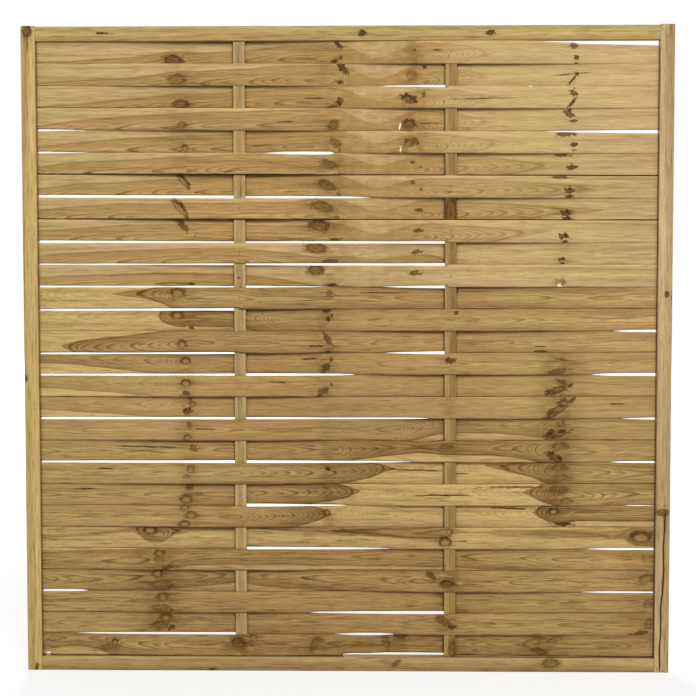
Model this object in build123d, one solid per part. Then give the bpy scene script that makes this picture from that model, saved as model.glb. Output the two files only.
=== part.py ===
from build123d import *
import os

# A woven slat fence panel: a grooved softwood frame, two upright battens, and thin sawn slats that
# pass in front of one batten and behind the other, turn about from slat to slat.
# Millimetres. X runs to the right as seen from the front, -Y faces the front and Z is up.
# The origin is on the ground, under the middle of the panel.

# Overall size of the frame
PANEL_WIDTH = 1800.0
PANEL_HEIGHT = 1800.0

# Frame bars: stiles and rails are cut from one grooved section
FRAME_FACE = 40.0
FRAME_DEPTH = 40.0
FRAME_ARRIS = 3.0
GROOVE_DEPTH = 12.0
STILE_HORN = 2.0

# Slats
SLAT_WIDTH = 60.0
SLAT_THICKNESS = 5.0
MEAN_GAP = 1.2
LEAST_GAP = 0.3

# Battens: places are from the inner face of the nearer stile to the batten's middle
BATTEN_WIDTH = 32.0
BATTEN_THICKNESS = 18.0
BATTEN_ARRIS = 3.0
LEFT_BATTEN_PLACE = 562.0
RIGHT_BATTEN_PLACE = 572.0

# Fixings: a wire staple where each slat passes in front of a batten, and a gun nail of flat wire
# through each corner tenon
STAPLE_CROWN = 12.0
STAPLE_WIRE = 1.2
STAPLE_LEAN = 18.0
STAPLE_COVER = 4.0
NAIL_WIRE = 2.0
NAIL_LENGTH = 32.0
NAIL_HEAD = 4.0
NAIL_HEAD_THICKNESS = 1.2
NAIL_FROM_STILE_EDGE = 7.0
NAIL_FROM_RAIL_BACK = 12.0

# Clearances
GROOVE_PLAY = 0.3
TENON_END_PLAY = 0.5
SLAT_END_PLAY = 2.0
SLAT_SEAT = 0.15
STAPLE_SEAT = 0.15
FIXING_PLAY = 0.05

# Daylight above each slat, and below the last one, as read from the photograph in millimetres at
# the left stile, at mid-span and at the right stile. The rows share out the height left by the slats.
DAYLIGHT = [
    (0.5, 0.5, 4.0),
    (0.5, 1.0, 1.5),
    (1.0, 1.0, 0.5),
    (0.5, 1.0, 0.5),
    (1.5, 1.0, 3.0),
    (1.5, 1.0, 0.5),
    (0.0, 1.0, 1.0),
    (3.5, 2.0, 0.5),
    (0.0, 0.5, 0.5),
    (3.5, 2.5, 0.5),
    (2.0, 2.5, 0.5),
    (2.5, 1.0, 0.5),
    (2.0, 1.0, 0.5),
    (0.0, 1.0, 1.0),
    (2.0, 1.0, 0.5),
    (2.0, 1.0, 1.0),
    (0.0, 0.5, 0.5),
    (2.5, 2.0, 1.0),
    (0.0, 0.0, 0.5),
    (2.0, 2.0, 1.0),
    (0.0, 0.5, 0.5),
    (0.0, 0.5, 1.0),
    (0.5, 0.5, 0.5),
    (0.5, 1.0, 1.0),
    (0.5, 0.0, 0.5),
    (0.5, 0.0, 1.0),
    (0.5, 0.5, 0.5),
    (1.0, 1.5, 1.0),
    (0.5, 1.0, 1.0),
]

# Slivers torn off slat edges: slat counted from the top, edge, where the loss starts, is deepest and
# ends along X, and its greatest depth
SLIVERS = [
    (1, "upper", 500, 870, 900, 8.0),
    (2, "lower", 97, 269, 534, 6.0),
    (5, "upper", -1000, -870, -700, 3.0),
    (5, "upper", 480, 870, 900, 6.0),
    (5, "lower", -230, -43, -31, 8.0),
    (6, "upper", -1000, -870, -700, 3.0),
    (7, "lower", -1600, -302, 88, 5.0),
    (9, "lower", -1100, -860, -300, 2.5),
    (10, "upper", -700, 284, 330, 4.0),
    (10, "lower", -700, 284, 330, 4.0),
    (11, "lower", -1500, -288, -9, 3.0),
    (12, "upper", 117, 285, 330, 6.5),
    (13, "upper", -1500, -305, -275, 5.0),
    (14, "upper", 719, 870, 900, 6.0),
    (14, "lower", 76, 286, 330, 7.0),
    (15, "upper", -1800, -305, -275, 3.5),
    (15, "lower", -1600, -290, 33, 3.5),
    (15, "lower", 677, 870, 900, 7.0),
    (17, "lower", -2000, -300, 260, 3.0),
    (18, "upper", 760, 870, 900, 4.0),
    (19, "lower", -1300, -290, 150, 4.5),
    (19, "lower", 742, 870, 900, 4.5),
    (21, "lower", -325, -285, 6, 7.5),
    (22, "upper", 790, 870, 900, 2.5),
    (23, "lower", -325, -222, 132, 6.0),
    (24, "upper", 679, 780, 1000, 4.5),
    (25, "lower", -920, -870, -735, 7.5),
    (26, "upper", 655, 820, 1000, 4.0),
    (26, "lower", -122, 288, 335, 7.5),
    (27, "lower", -774, -308, -275, 6.0),
    (28, "upper", -43, 90, 147, 5.0),
    (28, "lower", -875, -862, -846, 8.0),
    (28, "lower", -9, 277, 345, 4.0),
]

# Sizes that follow
OPENING_WIDTH = PANEL_WIDTH - 2 * FRAME_FACE
OPENING_BOTTOM = FRAME_FACE
OPENING_TOP = PANEL_HEIGHT - STILE_HORN - FRAME_FACE
OPENING_HEIGHT = OPENING_TOP - OPENING_BOTTOM
GROOVE_WIDTH = SLAT_THICKNESS + 2 * GROOVE_PLAY
TENON_THICKNESS = SLAT_THICKNESS
TENON_LENGTH = GROOVE_DEPTH - TENON_END_PLAY
SLAT_REACH = OPENING_WIDTH / 2 + GROOVE_DEPTH - SLAT_END_PLAY
SLAT_COUNT = int(OPENING_HEIGHT / (SLAT_WIDTH + MEAN_GAP))
LEFT_BATTEN_X = -OPENING_WIDTH / 2 + LEFT_BATTEN_PLACE
RIGHT_BATTEN_X = OPENING_WIDTH / 2 - RIGHT_BATTEN_PLACE
WAVE_HEIGHT = BATTEN_THICKNESS / 2 + SLAT_SEAT + SLAT_THICKNESS / 2
SLAT_FACE = WAVE_HEIGHT + SLAT_THICKNESS / 2

FRONT = -1
REAR = 1


def grooved_bar(length):
    """Frame bar standing on Z: a square section with eased arrises and a groove in its +X face."""
    section = RectangleRounded(FRAME_FACE, FRAME_DEPTH, FRAME_ARRIS)
    groove = Pos(FRAME_FACE / 2 - GROOVE_DEPTH / 2, 0) * Rectangle(GROOVE_DEPTH, GROOVE_WIDTH)
    return extrude(section - groove, length)


def tenoned_bar():
    """Rail standing on Z: a grooved bar with a stub tenon at both ends, behind the groove."""
    tenon_height = FRAME_FACE - GROOVE_DEPTH
    tenon = Box(tenon_height, TENON_THICKNESS, OPENING_WIDTH + 2 * TENON_LENGTH)
    tenon = Pos(-GROOVE_DEPTH / 2, 0, OPENING_WIDTH / 2) * tenon
    return grooved_bar(OPENING_WIDTH) + tenon


def nail(play):
    """Gun nail driven along +Y from the origin: square wire with a flat head let in flush."""
    from_face = (Align.CENTER, Align.MIN, Align.CENTER)
    wire = NAIL_WIRE + 2 * play
    shank = Box(wire, NAIL_LENGTH + play, wire, align=from_face)
    head = Box(wire, NAIL_HEAD_THICKNESS, NAIL_HEAD + 2 * play, align=from_face)
    return shank + head


def corner_nails(play):
    """One nail through each stile's front cheek and the rail's tenon behind it."""
    across = OPENING_WIDTH / 2 + NAIL_FROM_STILE_EDGE
    heights = (NAIL_FROM_RAIL_BACK, PANEL_HEIGHT - STILE_HORN - NAIL_FROM_RAIL_BACK)
    places = [(x, z) for x in (-across, across) for z in heights]
    return [Pos(x, -FRAME_DEPTH / 2, z) * nail(play) for x, z in places]


def staple(x, z, play):
    """Staple over a front slat and into its batten: a leaning crown across the grain and two square legs."""
    from_crown = (Align.CENTER, Align.MIN, Align.CENTER)
    wire = STAPLE_WIRE + 2 * play
    crown_front = -SLAT_FACE - STAPLE_SEAT - STAPLE_WIRE
    leg_tip = BATTEN_THICKNESS / 2 - STAPLE_COVER + play
    crown = Box(wire, STAPLE_WIRE, STAPLE_CROWN + 2 * play, align=from_crown)
    leg = Box(wire, leg_tip - crown_front, wire, align=from_crown)
    leg_offset = (STAPLE_CROWN - STAPLE_WIRE) / 2
    legs = [Pos(0, 0, end * leg_offset) * leg for end in (-1, 1)]
    return Pos(x, crown_front, z) * Rot(0, STAPLE_LEAN, 0) * (crown + legs)


def batten():
    """Upright batten between the rails, with a stub tenon into each rail's groove."""
    body = extrude(RectangleRounded(BATTEN_WIDTH, BATTEN_THICKNESS, BATTEN_ARRIS), OPENING_HEIGHT)
    stub = Box(BATTEN_WIDTH - 2 * BATTEN_ARRIS, TENON_THICKNESS, OPENING_HEIGHT + 2 * TENON_LENGTH)
    return body + Pos(0, 0, OPENING_HEIGHT / 2) * stub


def at(x, values):
    """Straight lines between the values at the left stile, at mid-span and at the right stile."""
    left, middle, right = values
    end = left if x < 0 else right
    return middle + (end - middle) * abs(x) / (OPENING_WIDTH / 2)


def slat_tops():
    """Heights of every slat's upper edge, laid from the top rail down with the daylight shared out."""
    rows = [DAYLIGHT[i % len(DAYLIGHT)] for i in range(SLAT_COUNT + 1)]
    spare = OPENING_HEIGHT - SLAT_COUNT * SLAT_WIDTH - (SLAT_COUNT + 1) * LEAST_GAP
    totals = [sum(column) for column in zip(*rows)]
    edge = [OPENING_TOP] * 3
    tops = []
    for row in rows[:SLAT_COUNT]:
        edge = [e - LEAST_GAP - spare * gap / total for e, gap, total in zip(edge, row, totals)]
        tops.append(tuple(edge))
        edge = [e - SLAT_WIDTH for e in edge]
    return tops


def sliver_depth(x, slivers):
    """Depth lost from an edge at x: each sliver deepens and ends along straight lines."""
    depth = 0.0
    for start, deepest, end, most in slivers:
        if start < x <= deepest:
            depth = max(depth, most * (x - start) / (deepest - start))
        elif deepest < x < end:
            depth = max(depth, most * (end - x) / (end - deepest))
    return depth


def slat_edge(number, edge, heights, inward):
    """Points of one long edge, from the left end to the right end, with its torn slivers."""
    slivers = [row[2:] for row in SLIVERS if row[0] == number and row[1] == edge]
    places = {-SLAT_REACH, 0.0, SLAT_REACH}
    for sliver in slivers:
        places.update(x for x in sliver[:3] if abs(x) < SLAT_REACH)
    return [(x, at(x, heights) + inward * sliver_depth(x, slivers)) for x in sorted(places)]


def wave_line(left_side, offset):
    """Bent line of a slat seen from above: flat in both grooves and across both battens."""
    points = [(-SLAT_REACH, 0.0), (-OPENING_WIDTH / 2, 0.0)]
    for batten_x, side in ((LEFT_BATTEN_X, left_side), (RIGHT_BATTEN_X, -left_side)):
        points += [(batten_x - BATTEN_WIDTH / 2, side * WAVE_HEIGHT)]
        points += [(batten_x + BATTEN_WIDTH / 2, side * WAVE_HEIGHT)]
    points += [(OPENING_WIDTH / 2, 0.0), (SLAT_REACH, 0.0)]
    return Spline([(x, y + offset) for x, y in points], tangents=[(1, 0), (1, 0)])


def slat(number, top, left_side):
    """One slat: its outline seen from the front, cut from a board bent round the battens."""
    bottom = tuple(height - SLAT_WIDTH for height in top)
    upper = slat_edge(number, "upper", top, -1)
    lower = slat_edge(number, "lower", bottom, 1)
    outline = make_face(Polyline(upper + lower[::-1], close=True))
    plate = extrude(Plane.XZ * outline, FRAME_DEPTH / 2, both=True)
    front_line = wave_line(left_side, -SLAT_THICKNESS / 2)
    rear_line = wave_line(left_side, SLAT_THICKNESS / 2)
    ends = [Line(front_line @ end, rear_line @ end) for end in (0, 1)]
    board = Pos(0, 0, min(bottom) - SLAT_WIDTH) * make_face([front_line, rear_line] + ends)
    return extrude(board, max(top) - min(bottom) + 2 * SLAT_WIDTH) & plate


def crossing(top, batten_x):
    """Height of a slat's middle where it crosses a batten."""
    return at(batten_x, top) - SLAT_WIDTH / 2


# Frame
nail_holes = corner_nails(FIXING_PLAY)
left_stile = Pos(-PANEL_WIDTH / 2 + FRAME_FACE / 2, 0, 0) * grooved_bar(PANEL_HEIGHT) - nail_holes
right_stile = Pos(PANEL_WIDTH / 2 - FRAME_FACE / 2, 0, 0) * Rot(0, 0, 180) * grooved_bar(PANEL_HEIGHT) - nail_holes
rail_start = -OPENING_WIDTH / 2
top_rail_line = Plane((rail_start, 0, OPENING_TOP + FRAME_FACE / 2), x_dir=(0, 0, -1), z_dir=(1, 0, 0))
bottom_rail_line = Plane((rail_start, 0, OPENING_BOTTOM - FRAME_FACE / 2), x_dir=(0, 0, 1), z_dir=(1, 0, 0))
top_rail = top_rail_line * tenoned_bar() - nail_holes
bottom_rail = bottom_rail_line * tenoned_bar() - nail_holes

# Slats and their staples; odd slats pass behind the left batten and in front of the right one
slats = []
staples = []
staple_holes = {LEFT_BATTEN_X: [], RIGHT_BATTEN_X: []}
for number, top in enumerate(slat_tops(), start=1):
    left_side, stapled_x = (REAR, RIGHT_BATTEN_X) if number % 2 else (FRONT, LEFT_BATTEN_X)
    height = crossing(top, stapled_x)
    staples.append(staple(stapled_x, height, 0))
    hole = staple(stapled_x, height, FIXING_PLAY)
    staple_holes[stapled_x].append(hole)
    slats.append(slat(number, top, left_side) - hole)

# Battens
left_batten = Pos(LEFT_BATTEN_X, 0, OPENING_BOTTOM) * batten() - staple_holes[LEFT_BATTEN_X]
right_batten = Pos(RIGHT_BATTEN_X, 0, OPENING_BOTTOM) * batten() - staple_holes[RIGHT_BATTEN_X]

# One file for each piece, and one for each group of like fixings
nodes = {
    "left_stile": left_stile,
    "right_stile": right_stile,
    "top_rail": top_rail,
    "bottom_rail": bottom_rail,
    "left_batten": left_batten,
    "right_batten": right_batten,
    "slat_staples": Compound(children=staples),
    "corner_nails": Compound(children=corner_nails(0)),
}
nodes.update({f"slat_{number:02d}": piece for number, piece in enumerate(slats, start=1)})

os.makedirs("parts", exist_ok=True)
for name, shape in nodes.items():
    export_step(shape, f"parts/{name}.step")
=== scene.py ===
import math

import bpy
import numpy as np
from bpy.props import FloatProperty, FloatVectorProperty, PointerProperty
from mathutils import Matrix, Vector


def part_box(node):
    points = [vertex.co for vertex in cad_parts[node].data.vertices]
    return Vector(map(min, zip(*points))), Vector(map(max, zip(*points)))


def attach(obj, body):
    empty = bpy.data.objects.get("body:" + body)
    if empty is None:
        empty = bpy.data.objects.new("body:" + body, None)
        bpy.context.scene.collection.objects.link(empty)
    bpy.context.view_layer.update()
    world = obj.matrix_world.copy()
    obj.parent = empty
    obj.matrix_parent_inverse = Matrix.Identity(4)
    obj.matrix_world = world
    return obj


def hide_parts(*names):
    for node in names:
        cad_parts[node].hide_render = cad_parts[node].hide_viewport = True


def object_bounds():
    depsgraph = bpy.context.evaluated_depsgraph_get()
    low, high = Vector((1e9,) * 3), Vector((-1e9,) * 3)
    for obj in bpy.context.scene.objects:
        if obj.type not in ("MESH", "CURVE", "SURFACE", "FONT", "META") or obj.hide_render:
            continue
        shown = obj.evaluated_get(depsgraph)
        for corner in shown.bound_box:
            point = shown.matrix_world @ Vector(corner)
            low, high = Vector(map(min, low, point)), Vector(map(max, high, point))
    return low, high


bl_info = {
    "name": "Woven slat fence panel",
    "version": (1, 0, 0),
    "blender": (4, 5, 0),
    "location": "3D view, sidebar, Fence",
    "description": "Dresses the packed panel in sawn, pressure treated softwood",
    "category": "Object",
}

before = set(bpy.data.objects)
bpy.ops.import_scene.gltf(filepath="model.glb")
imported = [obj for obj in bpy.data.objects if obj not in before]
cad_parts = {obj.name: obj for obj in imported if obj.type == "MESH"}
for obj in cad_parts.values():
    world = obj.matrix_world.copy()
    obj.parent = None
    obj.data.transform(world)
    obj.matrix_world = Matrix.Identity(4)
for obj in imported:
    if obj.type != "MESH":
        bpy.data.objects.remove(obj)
CAD_LOW, CAD_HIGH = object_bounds()

MM = 0.001
CM = 0.01
SLATS = [f"slat_{number:02d}" for number in range(1, 29)]

# Sizes of the CAD slats and of the frame's grooves that a box doesn't tell
SLAT_THICKNESS = 5 * MM
GROOVE_HALF_WIDTH = 2.8 * MM
GROOVE_DEPTH = 12 * MM
FRAME_HALF_DEPTH = 20 * MM

# Slats that were sawn one after another from the same plank, so their figure runs on from slat to slat
PLANKS = {"upper_plank": range(1, 12), "middle_plank": range(12, 23), "lower_plank": range(23, 29)}
SAW_STEP = 7 * MM

# Radius of the dark heart of the log, in centimetres, that every figure is drawn with
HEART_RADIUS = 5.0

# Kinds of mark: share of stained wood round it, and share of pale centre, where 2 is white resin
KNOT = (1.0, 0.1)
EYE = (0.8, 0.9)
SPOT = (0.45, 0.0)
SPIKE = (0.3, 0.0)
LEAF = (0.3, 0.8)
SLIT = (0.0, 0.0)
RESIN = (0.0, 2.0)

# Knots and resin slits: X and height from the slat's middle, half length and half width in
# millimetres, lean in degrees, kind and darkness
SLAT_MARKS = {
    1: [
        (-482, -20, 24, 13, 0, KNOT, 1.0), (-23, 20, 13, 5, -45, SPIKE, 0.9),
        (-34, -24, 9, 5, 10, SPOT, 0.9), (-16, -14, 4, 4, 0, SPOT, 0.9), (187, 5, 4, 4, 0, SPOT, 0.6),
        (249, 5, 12, 2.5, 0, SPOT, 0.8), (625, 20, 9, 9, 0, SPOT, 0.9), (632, -12, 7, 7, 0, SPOT, 0.9),
        (632, -28, 5, 4, 0, SPOT, 0.8),
    ],
    2: [
        (-470, -14, 24, 14, 0, KNOT, 0.55), (-421, -24, 12, 3, -10, SPOT, 0.3),
        (-12, 19, 22, 8, -60, SPIKE, 0.95), (-18, -20, 10, 5, 0, SPOT, 0.8),
        (215, 19, 6, 4, 0, SPOT, 0.8), (178, -4, 14, 12, 0, KNOT, 0.45), (634, 3, 6, 6, 0, SPOT, 0.9),
        (618, 2, 40, 1.6, 5, SLIT, 0.9), (622, -14, 16, 4, 50, SPIKE, 0.8),
    ],
    3: [
        (-462, -20, 22, 11, 0, KNOT, 0.85), (-92, -3, 27, 1.6, 0, SLIT, 0.9),
        (378, -4, 74, 1.4, 1.5, SLIT, 0.8), (-18, -12, 10, 10, 0, SPOT, 0.9),
        (-34, -24, 26, 3, 12, SPIKE, 0.6), (170, -5, 22, 11, -15, SPIKE, 0.9),
        (212, 8, 6, 7, 0, SPOT, 0.6), (625, 12, 10, 8, -30, SPOT, 0.9), (621, -15, 14, 5, 50, SPIKE, 0.9),
    ],
    4: [
        (-456, -15, 12, 8, 0, KNOT, 0.6), (-168, -6, 24, 1.6, 4, SLIT, 0.85),
        (-36, -15, 17, 12, 25, KNOT, 0.6), (172, -13, 17, 12, 0, KNOT, 0.95),
        (147, -19, 11, 3, 80, RESIN, 1.0), (222, -10, 36, 1.4, 0, SLIT, 0.7),
        (614, 16, 14, 8, -30, SPOT, 0.95), (625, -4, 8, 5, 0, SPOT, 0.8),
    ],
    5: [
        (-450, -18, 10, 8, 0, EYE, 0.7), (-236, -11, 26, 1.6, 5, SLIT, 0.85),
        (-32, -4, 17, 11, -35, KNOT, 0.6), (-20, -22, 6, 6, 0, SPOT, 0.5),
        (174, -4, 20, 10, 15, SPIKE, 0.65), (149, -22, 8, 2.5, 80, RESIN, 0.9),
        (195, -4, 4, 4, 0, SPOT, 0.7), (603, 24, 22, 7, 0, SPOT, 0.8), (626, -5, 8, 7, 0, SPOT, 0.95),
        (626, -20, 5, 4, 0, SPOT, 0.6),
    ],
    6: [
        (-328, -21, 14, 2, 4, SLIT, 0.8), (-438, -20, 6, 5, 0, EYE, 0.4),
        (-48, 1, 22, 10, -22, KNOT, 0.7), (-20, -26, 5, 3, 0, SPOT, 0.4), (181, 5, 6, 4, 0, SPOT, 0.7),
        (204, -8, 3, 3, 0, SPOT, 0.6), (596, 25, 18, 4, 0, SPOT, 0.8), (622, -8, 12, 7, 0, SPOT, 0.95),
    ],
    7: [
        (-456, 12, 30, 8, -47, LEAF, 0.9), (-56, 1, 26, 12, -20, KNOT, 0.75),
        (-22, -24, 7, 5, 0, SPOT, 0.5), (181, 11, 6, 5, 0, SPOT, 0.7), (205, -8, 4, 4, 0, SPOT, 0.5),
        (590, 26, 24, 4, 0, SPOT, 0.7), (615, -10, 11, 8, 0, SPOT, 0.95), (615, -26, 11, 5, 0, SPOT, 0.9),
    ],
    8: [
        (-462, 1, 36, 10, -48, LEAF, 0.85), (-67, 6, 30, 13, -15, KNOT, 0.75),
        (-28, -24, 8, 6, 0, SPOT, 0.6), (199, -4, 10, 5, -10, SPOT, 0.7),
        (607, -11, 14, 8, 0, SPOT, 0.95), (610, -25, 12, 5, 0, SPOT, 0.9),
    ],
    9: [
        (-458, 12, 25, 8, -45, SPIKE, 0.75), (-77, 13, 28, 15, -8, KNOT, 0.95),
        (-34, -26, 14, 5, 0, SPOT, 0.8), (197, 0, 12, 5, 0, SPOT, 0.7), (601, -14, 13, 9, 0, SPOT, 1.0),
        (603, -28, 9, 4, 0, SPOT, 0.8),
    ],
    10: [
        (-85, 14, 27, 15, -5, KNOT, 0.85), (-46, -23, 22, 6, 0, KNOT, 0.8), (194, 4, 13, 5, 8, SPOT, 0.7),
        (596, -17, 9, 7, 0, SPOT, 1.0), (597, -27, 7, 3, 0, SPOT, 0.9),
    ],
    11: [
        (-87, 17, 20, 15, 0, KNOT, 0.9), (-43, -25, 14, 5, 0, SPOT, 0.9), (190, 7, 14, 6, 0, SPOT, 0.7),
        (-432, -23, 9, 4, 0, SPOT, 0.9), (591, -19, 14, 11, 0, LEAF, 0.5),
        (590, -27, 8, 4, 0, RESIN, 1.0),
    ],
    12: [
        (-471, 14, 20, 14, 0, EYE, 0.8), (97, 15, 60, 2, 1, SLIT, 0.8), (-48, 12, 8, 10, 0, SPOT, 0.5),
        (306, 18, 6, 7, 0, SPOT, 0.7), (350, 18, 45, 1.5, 0, SLIT, 0.6),
    ],
    13: [
        (-474, 17, 16, 12, 0, EYE, 0.85), (-435, -19, 7, 4, 0, SPOT, 0.8), (-57, 26, 12, 5, 0, SPOT, 0.9),
        (-52, 3, 6, 6, 0, SPOT, 1.0), (-42, 12, 4, 5, 0, SPOT, 0.7), (304, 20, 5, 5, 0, SPOT, 0.9),
    ],
    14: [
        (-460, -7, 12, 11, 0, EYE, 0.75), (-55, 10, 22, 7, -55, SPIKE, 0.7),
        (-54, -28, 8, 4, 0, SPOT, 0.8), (-85, -11, 22, 2, 0, SLIT, 0.95), (300, -14, 5, 5, 0, SPOT, 0.8),
        (541, -13, 16, 2, 0, SLIT, 0.7), (540, -26, 18, 2.5, 0, SLIT, 0.8),
    ],
    15: [
        (-452, 9, 14, 10, 0, EYE, 0.8), (-107, 13, 23, 2, 2, SLIT, 0.95), (-44, 10, 6, 6, 0, SPOT, 0.7),
        (-62, -14, 20, 9, 50, SPIKE, 0.75), (288, 9, 12, 8, 0, SPOT, 0.8),
        (600, 12, 10, 4, -10, SPOT, 0.5), (588, -22, 24, 8, 10, SPIKE, 0.6),
    ],
    16: [
        (-450, 8, 15, 10, 0, EYE, 0.8), (-450, -22, 12, 6, 0, SPOT, 0.7),
        (-68, -16, 20, 8, 35, SPIKE, 0.7), (-43, 4, 5, 5, 0, SPOT, 0.6), (-191, 12, 24, 2, 0, SLIT, 0.95),
        (586, -13, 30, 10, 18, SPIKE, 0.9), (600, 9, 16, 5, -30, SPOT, 0.6),
    ],
    17: [
        (-440, 24, 7, 7, 0, SPOT, 0.7), (-433, 7, 9, 8, 0, EYE, 0.6), (-446, -14, 16, 8, 30, SPIKE, 0.85),
        (588, -6, 40, 11, 35, SPIKE, 0.8), (604, 20, 9, 6, 0, SPOT, 0.7), (752, 10, 22, 2, 0, SLIT, 0.8),
    ],
    18: [
        (-439, 13, 8, 9, 0, SPOT, 0.6), (-446, -21, 12, 8, 30, EYE, 0.7),
        (-400, 3, 30, 1.6, 0, SLIT, 0.75), (586, -13, 30, 11, 10, SPIKE, 0.9),
        (600, 13, 14, 8, 0, SPOT, 0.5),
    ],
    19: [
        (-552, 10, 82, 2, -1.5, SLIT, 0.9), (-430, 5, 10, 9, 0, SPOT, 0.5),
        (596, 13, 24, 10, 0, KNOT, 0.6), (578, -17, 24, 10, -30, SPIKE, 0.9),
        (278, 13, 18, 8, 0, KNOT, 0.6),
    ],
    20: [
        (-678, 14, 22, 2, -2, SLIT, 0.95), (-437, 12, 12, 10, 0, EYE, 0.6),
        (-448, -9, 10, 6, 0, EYE, 0.5), (-54, 13, 8, 6, 0, SPOT, 0.9), (194, 8, 70, 2, -2.5, SLIT, 0.85),
        (317, -2, 22, 2, 0, SLIT, 0.8), (596, 13, 22, 10, 0, KNOT, 0.5), (600, -13, 20, 8, 0, KNOT, 0.5),
    ],
    21: [
        (-743, 16, 27, 2, 0, SLIT, 0.95), (-443, 21, 12, 8, 0, SPOT, 0.7),
        (-452, -13, 18, 12, 0, EYE, 0.75), (-58, 16, 5, 5, 0, EYE, 0.6), (275, 0, 14, 6.5, 0, SPOT, 1.0),
        (274, 0, 76, 2.2, 0, SLIT, 0.9), (470, 22, 80, 3, 0, SLIT, 0.7), (593, 14, 26, 12, 0, KNOT, 0.5),
        (612, -17, 16, 9, 0, EYE, 0.5),
    ],
    22: [
        (-454, 26, 12, 9, 0, EYE, 0.7), (-437, 4, 16, 10, 0, EYE, 0.6), (-456, -21, 16, 9, 10, EYE, 0.85),
        (-55, 13, 8, 7, 0, EYE, 0.8), (578, 14, 14, 9, 0, EYE, 1.0), (604, -22, 24, 5, 0, SPOT, 0.9),
        (455, 22, 50, 2.5, -3, SLIT, 0.8),
    ],
    23: [
        (-555, 21, 18, 12, 0, EYE, 1.0), (275, -10, 18, 13, 0, EYE, 1.0), (275, -8, 60, 2, 0, SLIT, 0.6),
        (822, 1, 30, 16, 0, EYE, 0.9),
    ],
    24: [
        (-527, 17, 14, 9, 0, EYE, 0.7), (-528, -2, 14, 10, 0, KNOT, 0.5),
        (-503, -22, 18, 6, 10, SPOT, 0.7), (841, 3, 16, 12, 0, KNOT, 0.35),
    ],
    25: [
        (-535, 19, 14, 11, 0, EYE, 0.8), (-525, -13, 30, 12, 0, KNOT, 0.5),
        (-497, -19, 14, 7, 0, SPOT, 0.6), (281, -7, 18, 10, 0, KNOT, 0.9),
        (233, 18, 16, 8, -40, SPOT, 0.7), (838, 5, 22, 13, 20, EYE, 0.5),
    ],
    26: [
        (-519, 13, 16, 11, 0, EYE, 0.6), (-525, -17, 24, 9, 0, KNOT, 0.5),
        (-497, -23, 12, 6, 0, SPOT, 0.7), (845, -3, 15, 11, 0, KNOT, 0.5),
    ],
    27: [
        (-512, 12, 16, 10, 0, EYE, 0.7), (-525, -11, 26, 11, 0, KNOT, 0.55),
        (-497, -18, 10, 7, 0, SPOT, 0.8), (268, 12, 20, 10, -25, KNOT, 0.7),
        (295, -8, 10, 8, 0, SPOT, 0.8), (846, 2, 10, 14, 0, KNOT, 0.5), (828, -24, 26, 5, 10, SPOT, 0.7),
    ],
    28: [
        (-655, 8, 9, 9, 0, EYE, 0.9), (-665, -9, 26, 12, 0, KNOT, 0.4), (-306, 6, 18, 14, 0, KNOT, 0.8),
        (-264, 25, 10, 5, 0, EYE, 0.6), (-89, 5, 22, 10, 60, KNOT, 0.6), (108, 5, 22, 9, -70, KNOT, 0.4),
        (148, 18, 16, 6, 0, SPOT, 0.7), (520, 8, 30, 10, 20, EYE, 0.5), (540, -18, 22, 8, -20, KNOT, 0.8),
        (585, 16, 26, 6, 15, EYE, 0.4),
    ],
}

# Top of the darker heartwood in the upper plank, as heights from the slat's middle at these X. It dips in
# a V where the tree healed over an old wound: depth of the V, height of its right shoulder, X of its end.
UPPER_STATIONS = (-870, -760, -620, -500, -320, -138, -55)
UPPER_HEART = {
    1: ((-25, -22, -14, -4, 6, 24, 28), -17, 30, 420), 2: ((-22, -16, -7, 3, 17, 28, 30), -10, 22, 420),
    3: ((-27, -19, -6, 6, 15, 28, 30), -8, 27, 420), 4: ((-20, -3, 8, 15, 25, 32, 30), -11, 24, 420),
    5: ((-13, -2, 9, 17, 22, 30, 30), -4, 28, 450), 6: ((-10, 5, 14, 21, 29, 32, 30), -3, 30, 620),
    7: ((-10, 4, 12, 18, 21, 30, 30), -5, 26, 780), 8: ((-4, 7, 14, 17, 21, 28, 28), -7, 24, 720),
    9: ((-1, 6, 13, 17, 18, 20, 22), -9, 22, 560), 10: ((-5, 3, 9, 13, 15, 3, -6), -16, 0, 290),
    11: ((-6, -1, 6, 10, 7, -14, -26), -34, -30, 270),
}

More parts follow.
